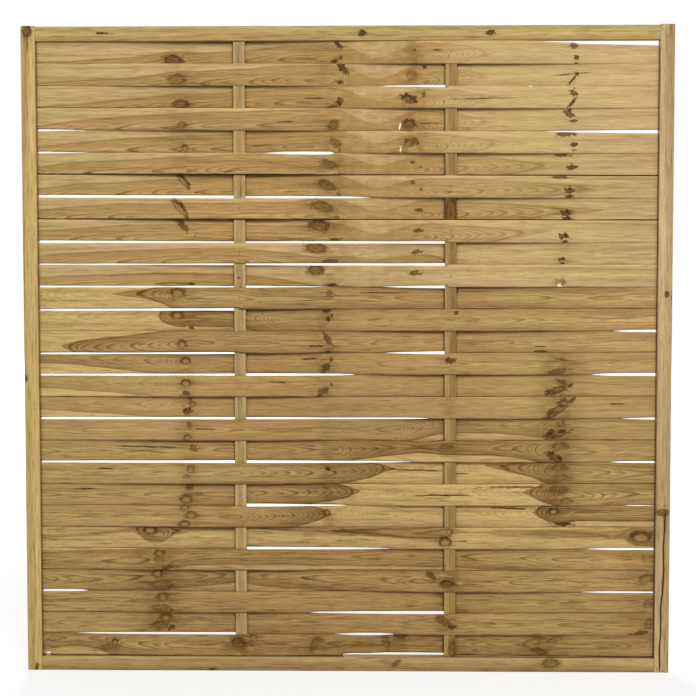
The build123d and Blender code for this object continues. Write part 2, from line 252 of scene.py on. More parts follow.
# Heartwood of the other slats. Where the lower edge lies above the upper one there is none.
HEART = {
    12: [
        (-870, -20, 42), (-760, -3, 26), (-676, 7, 17), (-652, 13, 10), (-610, 20, 4), (-566, 23, -1),
        (-518, 30, -13), (-498, 34, -20), (-460, 42, -40), (-300, 45, -45),
    ],
    13: [
        (-870, -25, 45), (-700, -10, 36), (-548, 2, 20), (-530, 8, 16), (-524, 24, 5), (-510, 40, -4),
        (-476, 42, -13), (-420, 42, -14), (-320, 42, -18), (-200, 45, -45),
    ],
    14: [
        (-870, -34, 10), (-800, -11, -11), (-772, -3, -27), (-744, 3, -40), (-673, 13, -45),
        (-560, 27, -48), (-518, 33, -48), (-440, 42, -48),
    ],
    15: [
        (-870, 45, 3), (-758, 43, -1), (-673, 41, -11), (-589, 40, -21), (-518, 42, -28), (-440, 45, -45),
    ],
    16: [
        (-870, 40, -6), (-758, 40, -11), (-645, 42, -21), (-560, 43, -28), (-480, 45, -42),
        (-400, 45, -45),
    ],
    17: [(-870, 40, -8), (-758, 40, -14), (-645, 43, -22), (-500, 45, -35), (-400, 45, -45)],
    18: [(150, 42, -40), (260, 38, -12), (420, 38, -10), (540, 40, -24), (600, 45, -45)],
    19: [
        (-300, 45, -45), (-20, 42, -38), (30, 36, -26), (120, 30, -14), (200, 28, -4), (280, 30, -8),
        (400, 30, -10), (500, 34, -20), (560, 42, -36), (620, 45, -45),
    ],
    20: [
        (-300, 45, -45), (-60, 42, -36), (10, 36, -28), (60, 32, -16), (100, 26, 2), (131, 16, 12),
        (160, 8, 18), (200, -6, 30), (250, -12, 38), (320, -4, 36), (360, 8, 28), (385, 21, 19),
        (430, 26, 8), (500, 34, -6), (551, 40, -26), (600, 45, -42), (870, 40, -38),
    ],
    21: [
        (-300, 45, -45), (-130, 42, -38), (-51, 34, -22), (0, 26, -8), (38, 12, 10), (60, 2, 22),
        (120, -16, 40), (250, -22, 46), (380, -14, 34), (450, 0, 18), (490, 8, 8), (520, 22, -6),
        (565, 34, -24), (610, 45, -45), (870, 38, -38),
    ],
    22: [
        (-300, 45, -45), (-200, 42, -40), (-135, 36, -28), (-80, 26, -10), (-43, 9, 7), (-15, -2, 20),
        (60, -20, 40), (220, -28, 46), (380, -20, 38), (480, -2, 20), (520, 10, 10), (535, 26, 0),
        (565, 34, -14), (600, 40, -27), (640, 42, -16), (870, 42, -14),
    ],
    23: [
        (-870, 6, -2), (-780, 10, 2), (-640, 22, 14), (-600, 28, 16), (-560, 34, -10), (-520, 34, -12),
        (-490, 30, 6), (-440, 28, 18), (-320, 27, 20), (-250, 24, 22), (-138, 22, 16), (-30, 26, 8),
        (80, 28, 4), (200, 30, -2), (275, 32, -6), (300, 24, 8), (345, 18, 18), (385, 19, 17),
        (425, 24, 8), (594, 24, 0), (740, 16, -4), (775, 16, -6), (819, 30, -20), (870, 34, -22),
    ],
    24: [
        (-870, 20, -40), (-600, 30, -40), (-440, 40, -18), (-300, 40, -14), (-100, 36, -16),
        (276, 40, -22), (600, 45, -45),
    ],
    25: [(-870, 40, -45), (-440, 40, -20), (-320, 38, -8), (-200, 40, -20), (200, 45, -45)],
    26: [(-870, 45, -38), (-440, 45, -45), (0, 40, -48), (870, 45, -40)],
    27: [(-870, 40, -45), (-300, 45, -42), (0, 48, -40), (870, 40, -48)],
    28: [(-870, 40, -14), (-760, 40, -6), (-690, 40, -14), (-640, 42, -34), (-500, 45, -45)],
}

# Brown stain where a ring of branches grew: X, half length in millimetres, first and last slat, strength
WHORLS = [
    (-455, 45, 1, 6, 0.35), (-50, 60, 1, 11, 0.3), (185, 40, 1, 5, 0.4), (610, 35, 1, 10, 0.2),
    (-450, 40, 12, 15, 0.5), (-445, 30, 16, 22, 0.55), (-58, 40, 13, 16, 0.5), (-56, 25, 17, 22, 0.3),
    (590, 55, 15, 22, 1.0), (288, 30, 17, 19, 0.4),
    (-525, 75, 24, 27, 0.85), (-545, 30, 23, 23, 0.4), (285, 45, 25, 28, 0.65), (825, 55, 23, 27, 0.6),
    (-300, 40, 28, 28, 0.7), (-85, 30, 28, 28, 0.5), (130, 50, 28, 28, 0.5), (540, 70, 28, 28, 0.6),
    (0, 900, 28, 28, 0.2), (-60, 180, 19, 22, 0.25),
]

# Daylight seen between neighbours from the front, in millimetres along X: joint 0 lies under the top rail,
# joint 28 on the bottom rail. Joints that are not listed look closed.
OPEN_JOINTS = {
    0: [
        [(537, 0), (565, 2), (621, 3.5), (645, 7.5), (705, 8.5), (845, 11.5), (870, 12)],
    ],
    2: [
        [(95, 0), (117, 2.5), (145, 3.5), (201, 4.5), (229, 6), (280, 6)],
        [(497, 0), (509, 2), (515, 0)],
    ],
    4: [
        [(-880, 5), (-835, 5), (-807, 4.5), (-751, 1.2), (-715, 0)],
        [(545, 0), (593, 3.5), (649, 5), (705, 6.5), (761, 8), (845, 9.5), (870, 10)],
    ],
    5: [
        [(-880, 5), (-835, 5), (-807, 3.3), (-779, 3), (-715, 0)],
        [(-235, 0), (-219, 1.5), (-191, 5), (-163, 7.5), (-107, 8.5), (-79, 8.5), (-45, 7.5), (-34, 0)],
    ],
    7: [
        [(-880, 6.5), (-835, 7), (-751, 8), (-639, 7), (-583, 8), (-415, 7.5), (-300, 8)],
        [(-300, 4.5), (-219, 6), (-163, 6.5), (-79, 5.5), (5, 5), (33, 3.5), (68, 0)],
    ],
    9: [
        [(-880, 6.5), (-807, 7.5), (-751, 6.5), (-695, 5.5), (-611, 6), (-555, 5), (-415, 5), (-300, 3.5)],
        [(-300, 4), (-191, 5), (-135, 6), (5, 6.5), (145, 6), (229, 7), (280, 7)],
    ],
    10: [
        [(-880, 3.5), (-807, 3.5), (-751, 2.5), (-667, 4.5), (-527, 3), (-415, 4.5), (-359, 5),
         (-300, 4.5)],
        [(-300, 4.5), (-191, 5.5), (-79, 6.5), (145, 6), (280, 7.5)],
    ],
    11: [
        [(-880, 4.5), (-835, 5.5), (-751, 4.5), (-555, 4.5), (-499, 3), (-443, 5.5), (-331, 3.5),
         (-300, 3)],
        [(-300, 5.5), (-247, 6), (-191, 3.5), (-107, 2.5), (-50, 0)],
        [(100, 0), (145, 4), (201, 6.5), (280, 8)],
    ],
    12: [
        [(-880, 4), (-807, 5), (-639, 5.5), (-583, 5), (-527, 6.5), (-443, 6.5), (-415, 5.5), (-300, 7.5)],
    ],
    13: [
        [(740, 0), (761, 3.5), (789, 6), (845, 6.5), (870, 7)],
    ],
    14: [
        [(-880, 3.5), (-751, 5), (-667, 3.5), (-583, 3), (-471, 5), (-387, 5), (-300, 4.5)],
        [(105, 0), (145, 3.5), (201, 6), (280, 8.5)],
    ],
    15: [
        [(-880, 3.5), (-723, 3.5), (-611, 4.5), (-527, 4), (-443, 3), (-359, 4.5), (-300, 4.5)],
        [(-300, 5.5), (-191, 5), (-79, 4), (-23, 3.5), (25, 0)],
        [(680, 0), (705, 4), (733, 6.5), (789, 7.5), (870, 8)],
    ],
    17: [
        [(-880, 2.5), (-835, 5.5), (-695, 6), (-583, 5.5), (-300, 6)],
        [(-300, 5), (-191, 5), (-79, 3.5), (145, 3.5), (201, 2.5), (232, 0)],
        [(765, 0), (789, 2), (845, 5), (870, 5)],
    ],
    19: [
        [(-880, 4), (-835, 4), (-695, 5.5), (-499, 5.5), (-415, 6.5), (-300, 7.5)],
        [(-300, 7.5), (-191, 6.5), (-79, 6), (-23, 4.5), (61, 4), (117, 2.5), (185, 0)],
        [(735, 0), (761, 3.5), (817, 5), (870, 5.5)],
    ],
    21: [
        [(-290, 8.5), (-219, 8), (-163, 6.5), (-107, 4.5), (-51, 4), (-23, 3), (0, 0)],
        [(775, 0), (789, 1.2), (817, 1.7), (845, 1), (860, 0)],
    ],
    23: [
        [(-290, 7.5), (-163, 6.5), (-79, 6), (5, 5.5), (61, 3.5), (89, 2), (125, 0)],
        [(670, 0), (705, 3.5), (733, 5), (789, 5.5), (870, 5)],
    ],
    25: [
        [(-880, 5), (-835, 5.5), (-779, 5.5), (-751, 4), (-730, 0)],
        [(655, 0), (705, 4), (733, 5), (817, 4), (870, 3)],
    ],
    26: [
        [(-105, 0), (-79, 3), (-23, 4), (5, 5.5), (89, 7.5), (201, 8.5), (280, 8)],
    ],
    27: [
        [(-765, 0), (-723, 3), (-667, 4.5), (-583, 5.5), (-471, 6), (-300, 6.5)],
        [(-35, 0), (5, 4), (33, 5.5), (61, 6), (89, 5.5), (117, 2.5), (135, 0)],
    ],
    28: [
        [(-15, 0), (5, 2), (61, 2.5), (89, 4), (117, 5), (229, 5), (280, 4)],
        [(-852, 0), (-850, 3), (-840, 3), (-838, 0)],
    ],
}

# Slats whose right half is paler and plainer than the rest of their plank, and slats whose figure
# is calm from some X on
FADED = {1: 0.8, 2: 0.8, 3: 0.8, 4: 0.8, 5: 0.7, 6: 0.45, 7: 0.4, 8: 0.2, 9: 0.3, 27: 0.4}
CALM = {15: (-870, 0.3), 16: (-870, 0.65), 17: (-870, 0.65), 18: (-870, 0.4), 23: (300, 0.6), 24: (-870, 0.2),
        26: (-870, 0.3), 27: (-870, 0.3)}

# Painted shade along the lower edges of the slats: the slats that show it most, or least
LOWER_EDGE_SHADE = {1: 0.2, 2: 0.2, 6: 3.0, 8: 2.0, 12: 0.8, 14: 0.7, 16: 0.9, 18: 0.8, 20: 0.8, 22: 0.7, 24: 0.8,
              26: 0.7, 28: 1.0}

# Marks and heartwood of the bars: the first number runs along the bar in the panel's own X or Z
BAR_MARKS = {
    "left_stile": [
        (1785, -3, 16, 12, 0, KNOT, 1.0), (1758, -1, 26, 1.6, 0, SLIT, 0.8),
        (826, -17, 8, 5, 0, SPOT, 0.9), (10, 5, 10, 4, 0, SPIKE, 0.9),
    ],
    "right_stile": [
        (1060, 4, 9, 6, 0, KNOT, 0.9), (1052, 18, 5, 5, 0, SPOT, 0.7), (452, -2, 9, 17, 0, KNOT, 0.8),
    ],
    "top_rail": [
        (-676, 1, 14, 3, 0, SPOT, 0.9), (44, -1, 10, 7, 0, SPOT, 1.0), (394, -2, 11, 8, 0, SPOT, 1.0),
    ],
    "bottom_rail": [
        (139, 3, 14, 7, 40, KNOT, 0.6), (570, 4, 24, 13, 0, KNOT, 0.7), (-381, -16, 9, 5, 0, SPOT, 0.8),
    ],
    "left_batten": [(1105, -3, 4, 4, 0, SPOT, 0.6)],
    "right_batten": [
        (1287, 2, 44, 19, 0, KNOT, 1.0), (1303, -5, 18, 5, 0, SPOT, 1.0), (1270, 7, 18, 5, 0, SPOT, 1.0),
        (60, 8, 26, 9, 0, KNOT, 0.8),
    ],
}
BAR_HEART = {
    "left_stile": [(0, -6, -60), (900, -8, -62), (1500, -4, -58), (1800, 2, -50)],
    "right_stile": [(0, 60, 4), (500, 60, 2), (1200, 60, 6), (1800, 60, 2)],
    "top_rail": [(-860, -8, -60), (0, -14, -66), (300, -20, -70), (860, -12, -64)],
    "bottom_rail": [(-860, -2, -56), (0, 2, -52), (860, -6, -60)],
    "left_batten": [(40, 6, -6), (1760, 5, -7)],
    "right_batten": [(40, 20, 0), (1760, 8, -4)],
}

# How marked the figure of a plank or bar is: depth of the rings, blur of the heart's edge in centimetres,
# darkness of the heart's rim, its width in centimetres, and depth of the fine grain
LOOK_SOCKETS = ("Ring Depth", "Heart Blur", "Heart Rim", "Rim Width", "Grain Depth")
LOOKS = {
    "upper_plank": (0.9, 0.3, 0.45, 0.45, 0.6),
    "middle_plank": (1.0, 0.1, 0.7, 2.2, 0.8),
    "lower_plank": (1.0, 0.3, 0.5, 1.8, 1.2),
    "frame": (0.7, 1.2, 0.15, 1.0, 0.8),
    "battens": (0.5, 1.0, 0.15, 1.0, 0.8),
}

# Tints that darken or lighten the wood's own colour, as shares of red, green and blue
TINTS = {
    "heart edge": (0.54, 0.44, 0.33), "heart outline": (0.62, 0.51, 0.38), "late wood": (0.27, 0.19, 0.11),
    "dull streak": (0.70, 0.65, 0.58), "bright streak": (1.2, 1.19, 1.16), "pink blotch": (1.0, 0.93, 1.0),
    "green blotch": (0.96, 1.0, 0.92), "red blotch": (1.05, 0.98, 0.99), "fleck": (0.62, 0.55, 0.46),
    "dash": (0.5, 0.41, 0.3), "bright grain": (1.18, 1.18, 1.15), "fibre": (0.75, 0.70, 0.64),
    # The last tint is a painted highlight on the arrises.
    "stain": (0.52, 0.42, 0.29), "arris highlight": (1.3, 1.27, 1.2),
}

# Colours of knots and resin, and of the painted shade along edges, in sRGB
KNOT_CORE = (114, 78, 30)
KNOT_RIM = (46, 26, 3)
KNOT_EYE = (172, 136, 84)
RESIN_WHITE = (240, 228, 190)
EDGE_SHADE_COLOUR = (52, 34, 14)

# Lamps: place in metres and turn in degrees
LAMP_SIZE = 2.8
KEY_STAND = ((2.2, -12.0, 4.9), (71, 0, 10))
FILL_STAND = ((-2.2, 12.0, 4.7), (72, 0, 190))

# Floor: its half width, where its own glow for the camera starts and ends to rise, and the glow there. The
# glow is weak enough near the panel to show its shadow.
FLOOR_REACH = 30.0
GLOW_RISE = (1.0, 6.0)
GLOW_STRENGTH = (1.31, 1.64)
GLOW_SHARE = 0.55
SENSOR_WIDTH = 36


def tone(red, green, blue):
    """Scene linear colour of an sRGB one in 0 to 255."""
    shares = np.array([red, green, blue]) / 255
    return tuple(np.where(shares > 0.04045, ((shares + 0.055) / 1.055) ** 2.4, shares / 12.92))


def colour(name, description, *srgb):
    """Colour property with a default given in sRGB."""
    return FloatVectorProperty(name=name, description=description, subtype="COLOR", size=3, min=0, max=1,
                               default=tone(*srgb))


def length(name, description, millimetres):
    """Length property with a default given in millimetres."""
    return FloatProperty(name=name, description=description, unit="LENGTH", default=millimetres * MM)


class SlatSettings(bpy.types.PropertyGroup):
    """Sizes and colours of the woven slats."""

    arris: length("Arris", "Radius of the sawn edges", 0.7)
    cup: length("Cup", "How far a slat bows across its width between the battens", 0.7)
    twist: length("Twist", "How far an edge leans in or out between the battens", 0.8)
    upper_sapwood: colour("Upper sapwood", "Pale wood of the upper slats", 194, 167, 116)
    upper_heartwood: colour("Upper heartwood", "Dark wood of the upper slats", 179, 149, 94)
    middle_sapwood: colour("Middle sapwood", "Pale wood of the middle slats", 197, 169, 112)
    middle_heartwood: colour("Middle heartwood", "Dark wood of the middle slats", 175, 145, 93)
    lower_sapwood: colour("Lower sapwood", "Pale wood of the lower slats", 190, 162, 107)
    lower_heartwood: colour("Lower heartwood", "Dark wood of the lower slats", 170, 140, 88)
    ring_width: FloatProperty(name="Ring width", description="Growth ring in centimetres", default=0.18)


class FrameSettings(bpy.types.PropertyGroup):
    """Sizes and colours of the stiles and rails."""

    arris: length("Arris", "Radius of the eased edges", 3)
    end_easing: length("End easing", "Bevel at the cut ends of the stiles", 1.2)
    crack_depth: length("Crack depth", "Depth of the drying crack in the right stile", 6)
    crack_width: length("Crack width", "Half the width of the drying crack", 1.7)
    left_sapwood: colour("Left stile sapwood", "Pale wood of the left stile", 199, 171, 112)
    left_heartwood: colour("Left stile heartwood", "Dark wood of the left stile", 188, 160, 102)
    right_sapwood: colour("Right stile sapwood", "Pale wood of the right stile", 190, 165, 121)
    right_heartwood: colour("Right stile heartwood", "Dark wood of the right stile", 177, 151, 110)
    top_sapwood: colour("Top rail sapwood", "Pale wood of the top rail", 187, 161, 106)
    top_heartwood: colour("Top rail heartwood", "Dark wood of the top rail", 177, 150, 97)
    bottom_sapwood: colour("Bottom rail sapwood", "Pale wood of the bottom rail", 180, 153, 102)
    bottom_heartwood: colour("Bottom rail heartwood", "Dark wood of the bottom rail", 162, 133, 88)


class BattenSettings(bpy.types.PropertyGroup):
    """Sizes and colours of the two upright battens."""

    arris: length("Arris", "Radius of the eased edges", 3)
    left_sapwood: colour("Left batten sapwood", "Pale wood of the left batten", 185, 160, 110)
    left_heartwood: colour("Left batten heartwood", "Dark wood of the left batten", 165, 139, 93)
    right_sapwood: colour("Right batten sapwood", "Pale wood of the right batten", 172, 145, 94)
    right_heartwood: colour("Right batten heartwood", "Dark wood of the right batten", 146, 116, 68)


class FixingSettings(bpy.types.PropertyGroup):
    """Colours of the staples and nails."""

    zinc: colour("Zinc", "Galvanised wire", 120, 106, 82)
    rust: colour("Rust", "Rust where the zinc is gone", 92, 62, 40)


class StageSettings(bpy.types.PropertyGroup):
    """Camera, light and floor."""

    lens: FloatProperty(name="Lens", description="Focal length", unit="CAMERA", default=92.946)
    camera_place: FloatVectorProperty(name="Camera", description="Where the camera stands",
                                      subtype="TRANSLATION", unit="LENGTH", default=(0.109, -5.0, 1.2346))
    camera_turn: FloatVectorProperty(name="Camera turn", description="Camera's angles", subtype="EULER",
                                     default=[math.radians(angle) for angle in (86.280, 0.044, 1.212)])
    key: FloatProperty(name="Key", description="Power of the lamp in front", unit="POWER", default=1130)
    fill: FloatProperty(name="Fill", description="Power of the lamp behind", unit="POWER", default=980)
    dome: FloatProperty(name="Dome", description="Strength of the light from all round", default=0.32)
    floor: colour("Floor", "Floor under the panel", 236, 236, 236)


def settings(name):
    """One of the panel's groups of settings."""
    return getattr(bpy.context.scene, name)


class Bench:
    """Adds nodes to one shader tree. An input may be a number, a colour or another node's socket."""

    def __init__(self, tree):
        self.tree = tree

    def node(self, kind, inputs=(), **values):
        """A node with its settings, and its inputs filled by name or place."""
        node = self.tree.nodes.new(kind)
        for name, value in values.items():
            setattr(node, name, value)
        for key, value in dict(inputs).items():
            self.feed(node.inputs[key], value)
        return node

    def feed(self, socket, value):
        """Joins a socket to an input, or sets the input's own value."""
        if isinstance(value, bpy.types.NodeSocket):
            self.tree.links.new(value, socket)
        elif socket.type == "RGBA" and len(value) == 3:
            socket.default_value = (*value, 1)
        else:
            socket.default_value = value

    def math(self, operation, *values, clamp=False):
        """One arithmetic step."""
        node = self.node("ShaderNodeMath", enumerate(values), operation=operation, use_clamp=clamp)
        return node.outputs[0]

    def add(self, *values):
        """Sum of several values."""
        total = values[0]
        for value in values[1:]:
            total = self.math("ADD", total, value)
        return total

    def times(self, *values):
        """Product of several values."""
        total = values[0]
        for value in values[1:]:
            total = self.math("MULTIPLY", total, value)
        return total

    def less(self, first, second):
        """First value less the second."""
        return self.math("SUBTRACT", first, second)

    def step(self, value, low, high):
        """Smooth rise from 0 at low to 1 at high, or fall where low is the greater."""
        inputs = {"Value": value, "From Min": low, "From Max": high}
        return self.node("ShaderNodeMapRange", inputs, interpolation_type="SMOOTHSTEP").outputs["Result"]

    def line(self, value, low, high):
        """Straight line from low at 0 to high at 1."""
        inputs = {"Value": value, "To Min": low, "To Max": high}
        return self.node("ShaderNodeMapRange", inputs).outputs["Result"]

    def mix(self, share, first, second, blend="MIX"):
        """Colour between two others."""
        inputs = {"Factor": share, 6: first, 7: second}
        return self.node("ShaderNodeMix", inputs, data_type="RGBA", blend_type=blend).outputs[2]

    def parts(self, vector):
        """The three numbers of a vector."""
        return self.node("ShaderNodeSeparateXYZ", {0: vector}).outputs

    def stretched(self, vector, along, across, through):
        """Vector with each of its numbers scaled."""
        inputs = {0: vector, 1: (along, across, through)}
        return self.node("ShaderNodeVectorMath", inputs, operation="MULTIPLY").outputs[0]

    def shifted(self, vector, scale, start):
        """Vector scaled evenly and added to another."""
        inputs = {0: vector, 1: (scale, scale, scale), 2: start}
        return self.node("ShaderNodeVectorMath", inputs, operation="MULTIPLY_ADD").outputs[0]

    def noise(self, vector, detail=2.0, roughness=0.5):
        """Smooth noise from 0 to 1 with cells about one unit wide."""
        inputs = {"Vector": vector, "Scale": 1.0, "Detail": detail, "Roughness": roughness}
        return self.node("ShaderNodeTexNoise", inputs).outputs[0]

    def attribute(self, name, output="Vector"):
        """A value that the piece's own mesh carries."""
        node = self.node("ShaderNodeAttribute", attribute_name=name, attribute_type="GEOMETRY")
        return node.outputs[output]


SOCKETS = {"value": "NodeSocketFloat", "vector": "NodeSocketVector", "colour": "NodeSocketColor"}


def node_group(name, inputs, outputs):
    """A new shader group with named sockets. Returns it, a bench on it, its inputs and its end node."""
    tree = bpy.data.node_groups.new(name, "ShaderNodeTree")
    for socket, kind in inputs.items():
        tree.interface.new_socket(socket, in_out="INPUT", socket_type=SOCKETS[kind])
    for socket, kind in outputs.items():
        tree.interface.new_socket(socket, in_out="OUTPUT", socket_type=SOCKETS[kind])
    bench = Bench(tree)
    return tree, bench, bench.node("NodeGroupInput").outputs, bench.node("NodeGroupOutput").inputs


def mark_group():
    """Knots and slits. The distance from a mark's middle is in its own half widths, made uneven: 1 is its
    rim. The core lies inside the rim. Dark strokes along the mark break it up, with whirls at whole steps of
    the distance in and round a knot. The push bends the grain aside as a stream bends round a stone, by
    radius times offset over distance squared."""
    outputs = {"Core": "value", "Rim": "value", "Eye": "value", "Resin": "value", "Push": "value"}
    inputs = {"Place": "vector", "Mark": "vector", "Mark Kind": "vector"}
    tree, bench, given, end = node_group("wood_mark", inputs, outputs)
    along, across, dark = bench.parts(given["Mark"])
    stain, pale, radius = bench.parts(given["Mark Kind"])
    square = bench.add(bench.times(along, along), bench.times(across, across))
    lump = bench.noise(bench.shifted(given["Place"], 20, bench.stretched(given["Mark"], 1.2, 1.2, 0)), 1.5)
    rough = bench.noise(bench.stretched(given["Place"], 140, 300, 300), 1.0)
    knot = bench.step(stain, 0.5, 0.75)
    uneven = bench.times(bench.less(lump, 0.5), bench.line(knot, 2.0, 0.8))
    distance = bench.times(bench.math("SQRT", square), bench.add(uneven, 1.0))
    distance = bench.add(distance, bench.line(rough, -0.13, 0.13))
    core = bench.step(distance, 1.2, 0.8)
    stroke = bench.noise(bench.shifted(given["Place"], 20, bench.stretched(given["Mark"], 1.1, 2.6, 0)), 3.0)
    stroke = bench.step(stroke, 0.56, 0.46)
    upper = bench.line(bench.math("MULTIPLY_ADD", across, 0.5, 0.5, clamp=True), 0.3, 1.0)
    rim = bench.times(bench.step(distance, 0.7, 0.95), bench.step(distance, 1.2, 1.02), upper)
    turn = bench.math("SINE", bench.times(distance, 11.0))
    whirl = bench.times(bench.step(turn, 0.2, 0.8), bench.step(distance, 1.9, 0.7), knot)
    small = bench.line(bench.step(radius, 1.0, 0.6), 0.0, 0.65)
    torn = bench.times(stroke, bench.line(knot, 0.9, 0.45))
    inside = bench.times(core, bench.math("MAXIMUM", torn, small))
    whirl = bench.times(whirl, bench.line(stroke, 0.3, 0.8))
    rim = bench.math("MAXIMUM", bench.math("MAXIMUM", rim, whirl), inside)
    resin = bench.times(bench.step(pale, 1.2, 1.6), core)
    pale = bench.math("MINIMUM", pale, 1.0)
    eye = bench.times(bench.step(bench.add(distance, bench.times(across, 0.3)), 0.7, 0.35), pale)
    bench.feed(end["Core"], bench.times(core, dark))
    bench.feed(end["Rim"], bench.times(rim, dark))
    bench.feed(end["Eye"], bench.times(eye, dark))
    bench.feed(end["Resin"], bench.times(resin, dark))
    bend = bench.math("DIVIDE", across, bench.add(square, 0.7))
    bench.feed(end["Push"], bench.times(bend, radius, stain))
    return tree


def ring_group():
    """Growth rings. The figure carries the heart's half width on the sawn face, negative past its end, and
    the offset from its middle line. With S the half width times its own size, the face lies sqrt(R squared
    less S) from the pith, so the distance from the pith is the root of that squared plus the offset
    squared. Rings are its whole steps. The heart lies where the offset is within the half width."""
    inputs = {"Place": "vector", "Figure": "vector", "Push": "value", "Ring Width": "value",
              "Heart Blur": "value", "Rim Width": "value"}
    outputs = {"Heart": "value", "Heart Edge": "value", "Outline": "value", "Late Wood": "value"}
    tree, bench, given, end = node_group("growth_rings", inputs, outputs)
    half, offset, depth = bench.parts(given["Figure"])
    square = bench.times(half, bench.math("ABSOLUTE", half))
    square = bench.add(square, bench.times(bench.math("MINIMUM", half, 0.0), 1.5))
    away = bench.math("SQRT", bench.math("MAXIMUM", bench.less(HEART_RADIUS ** 2, square), 0.6))
    away = bench.add(away, depth)
    aside = bench.less(offset, given["Push"])
    waver = bench.noise(bench.stretched(given["Place"], 7, 60, 60), 2.0)
    jitter = bench.noise(bench.stretched(given["Place"], 60, 320, 320), 1.0)
    wander = bench.add(bench.line(waver, -0.07, 0.07), bench.line(jitter, -0.03, 0.03))
    pith = bench.math("SQRT", bench.add(bench.times(away, away), bench.times(aside, aside)))
    pith = bench.add(pith, wander)
    beyond = bench.add(bench.less(bench.math("ABSOLUTE", aside), half), wander)
    heart = bench.step(beyond, given["Heart Blur"], bench.times(given["Heart Blur"], -1.0))
    bench.feed(end["Heart"], heart)
    near = bench.step(pith, bench.less(HEART_RADIUS, given["Rim Width"]), HEART_RADIUS)
    bench.feed(end["Heart Edge"], bench.times(heart, near))
    bench.feed(end["Outline"], bench.times(heart, bench.step(beyond, -0.3, -0.1)))
    count = bench.math("DIVIDE", pith, given["Ring Width"])
    year = bench.math("FLOOR", count)
    tooth = bench.math("FRACT", count)
    dry = bench.node("ShaderNodeTexWhiteNoise", {"W": year}, noise_dimensions="1D").outputs["Value"]
    late = bench.times(bench.step(tooth, 0.42, 0.9), bench.step(tooth, 1.0, 0.94))
    late = bench.times(late, bench.line(heart, 0.3, 1.0))
    outer = bench.line(bench.step(pith, 2.4, 4.2), 0.6, 1.0)
    bench.feed(end["Late Wood"], bench.times(late, bench.line(dry, 0.3, 1.0), outer))
    return tree


def fibre_group():
    """Fibres: noise stretched along the grain at four scales, from broad blotches to fine fibres."""
    outputs = {"Streak": "value", "Grain": "value", "Fibre": "value", "Blotch": "value"}
    tree, bench, given, end = node_group("fibre_streaks", {"Place": "vector"}, outputs)
    for name, scales, detail in (
        ("Streak", (1.7, 75, 40), 3.0), ("Grain", (16, 190, 190), 3.0), ("Fibre", (22, 900, 900), 2.0),
        ("Blotch", (3.0, 14, 10), 2.0),
    ):
        bench.feed(end[name], bench.noise(bench.stretched(given["Place"], *scales), detail, 0.55))
    return tree


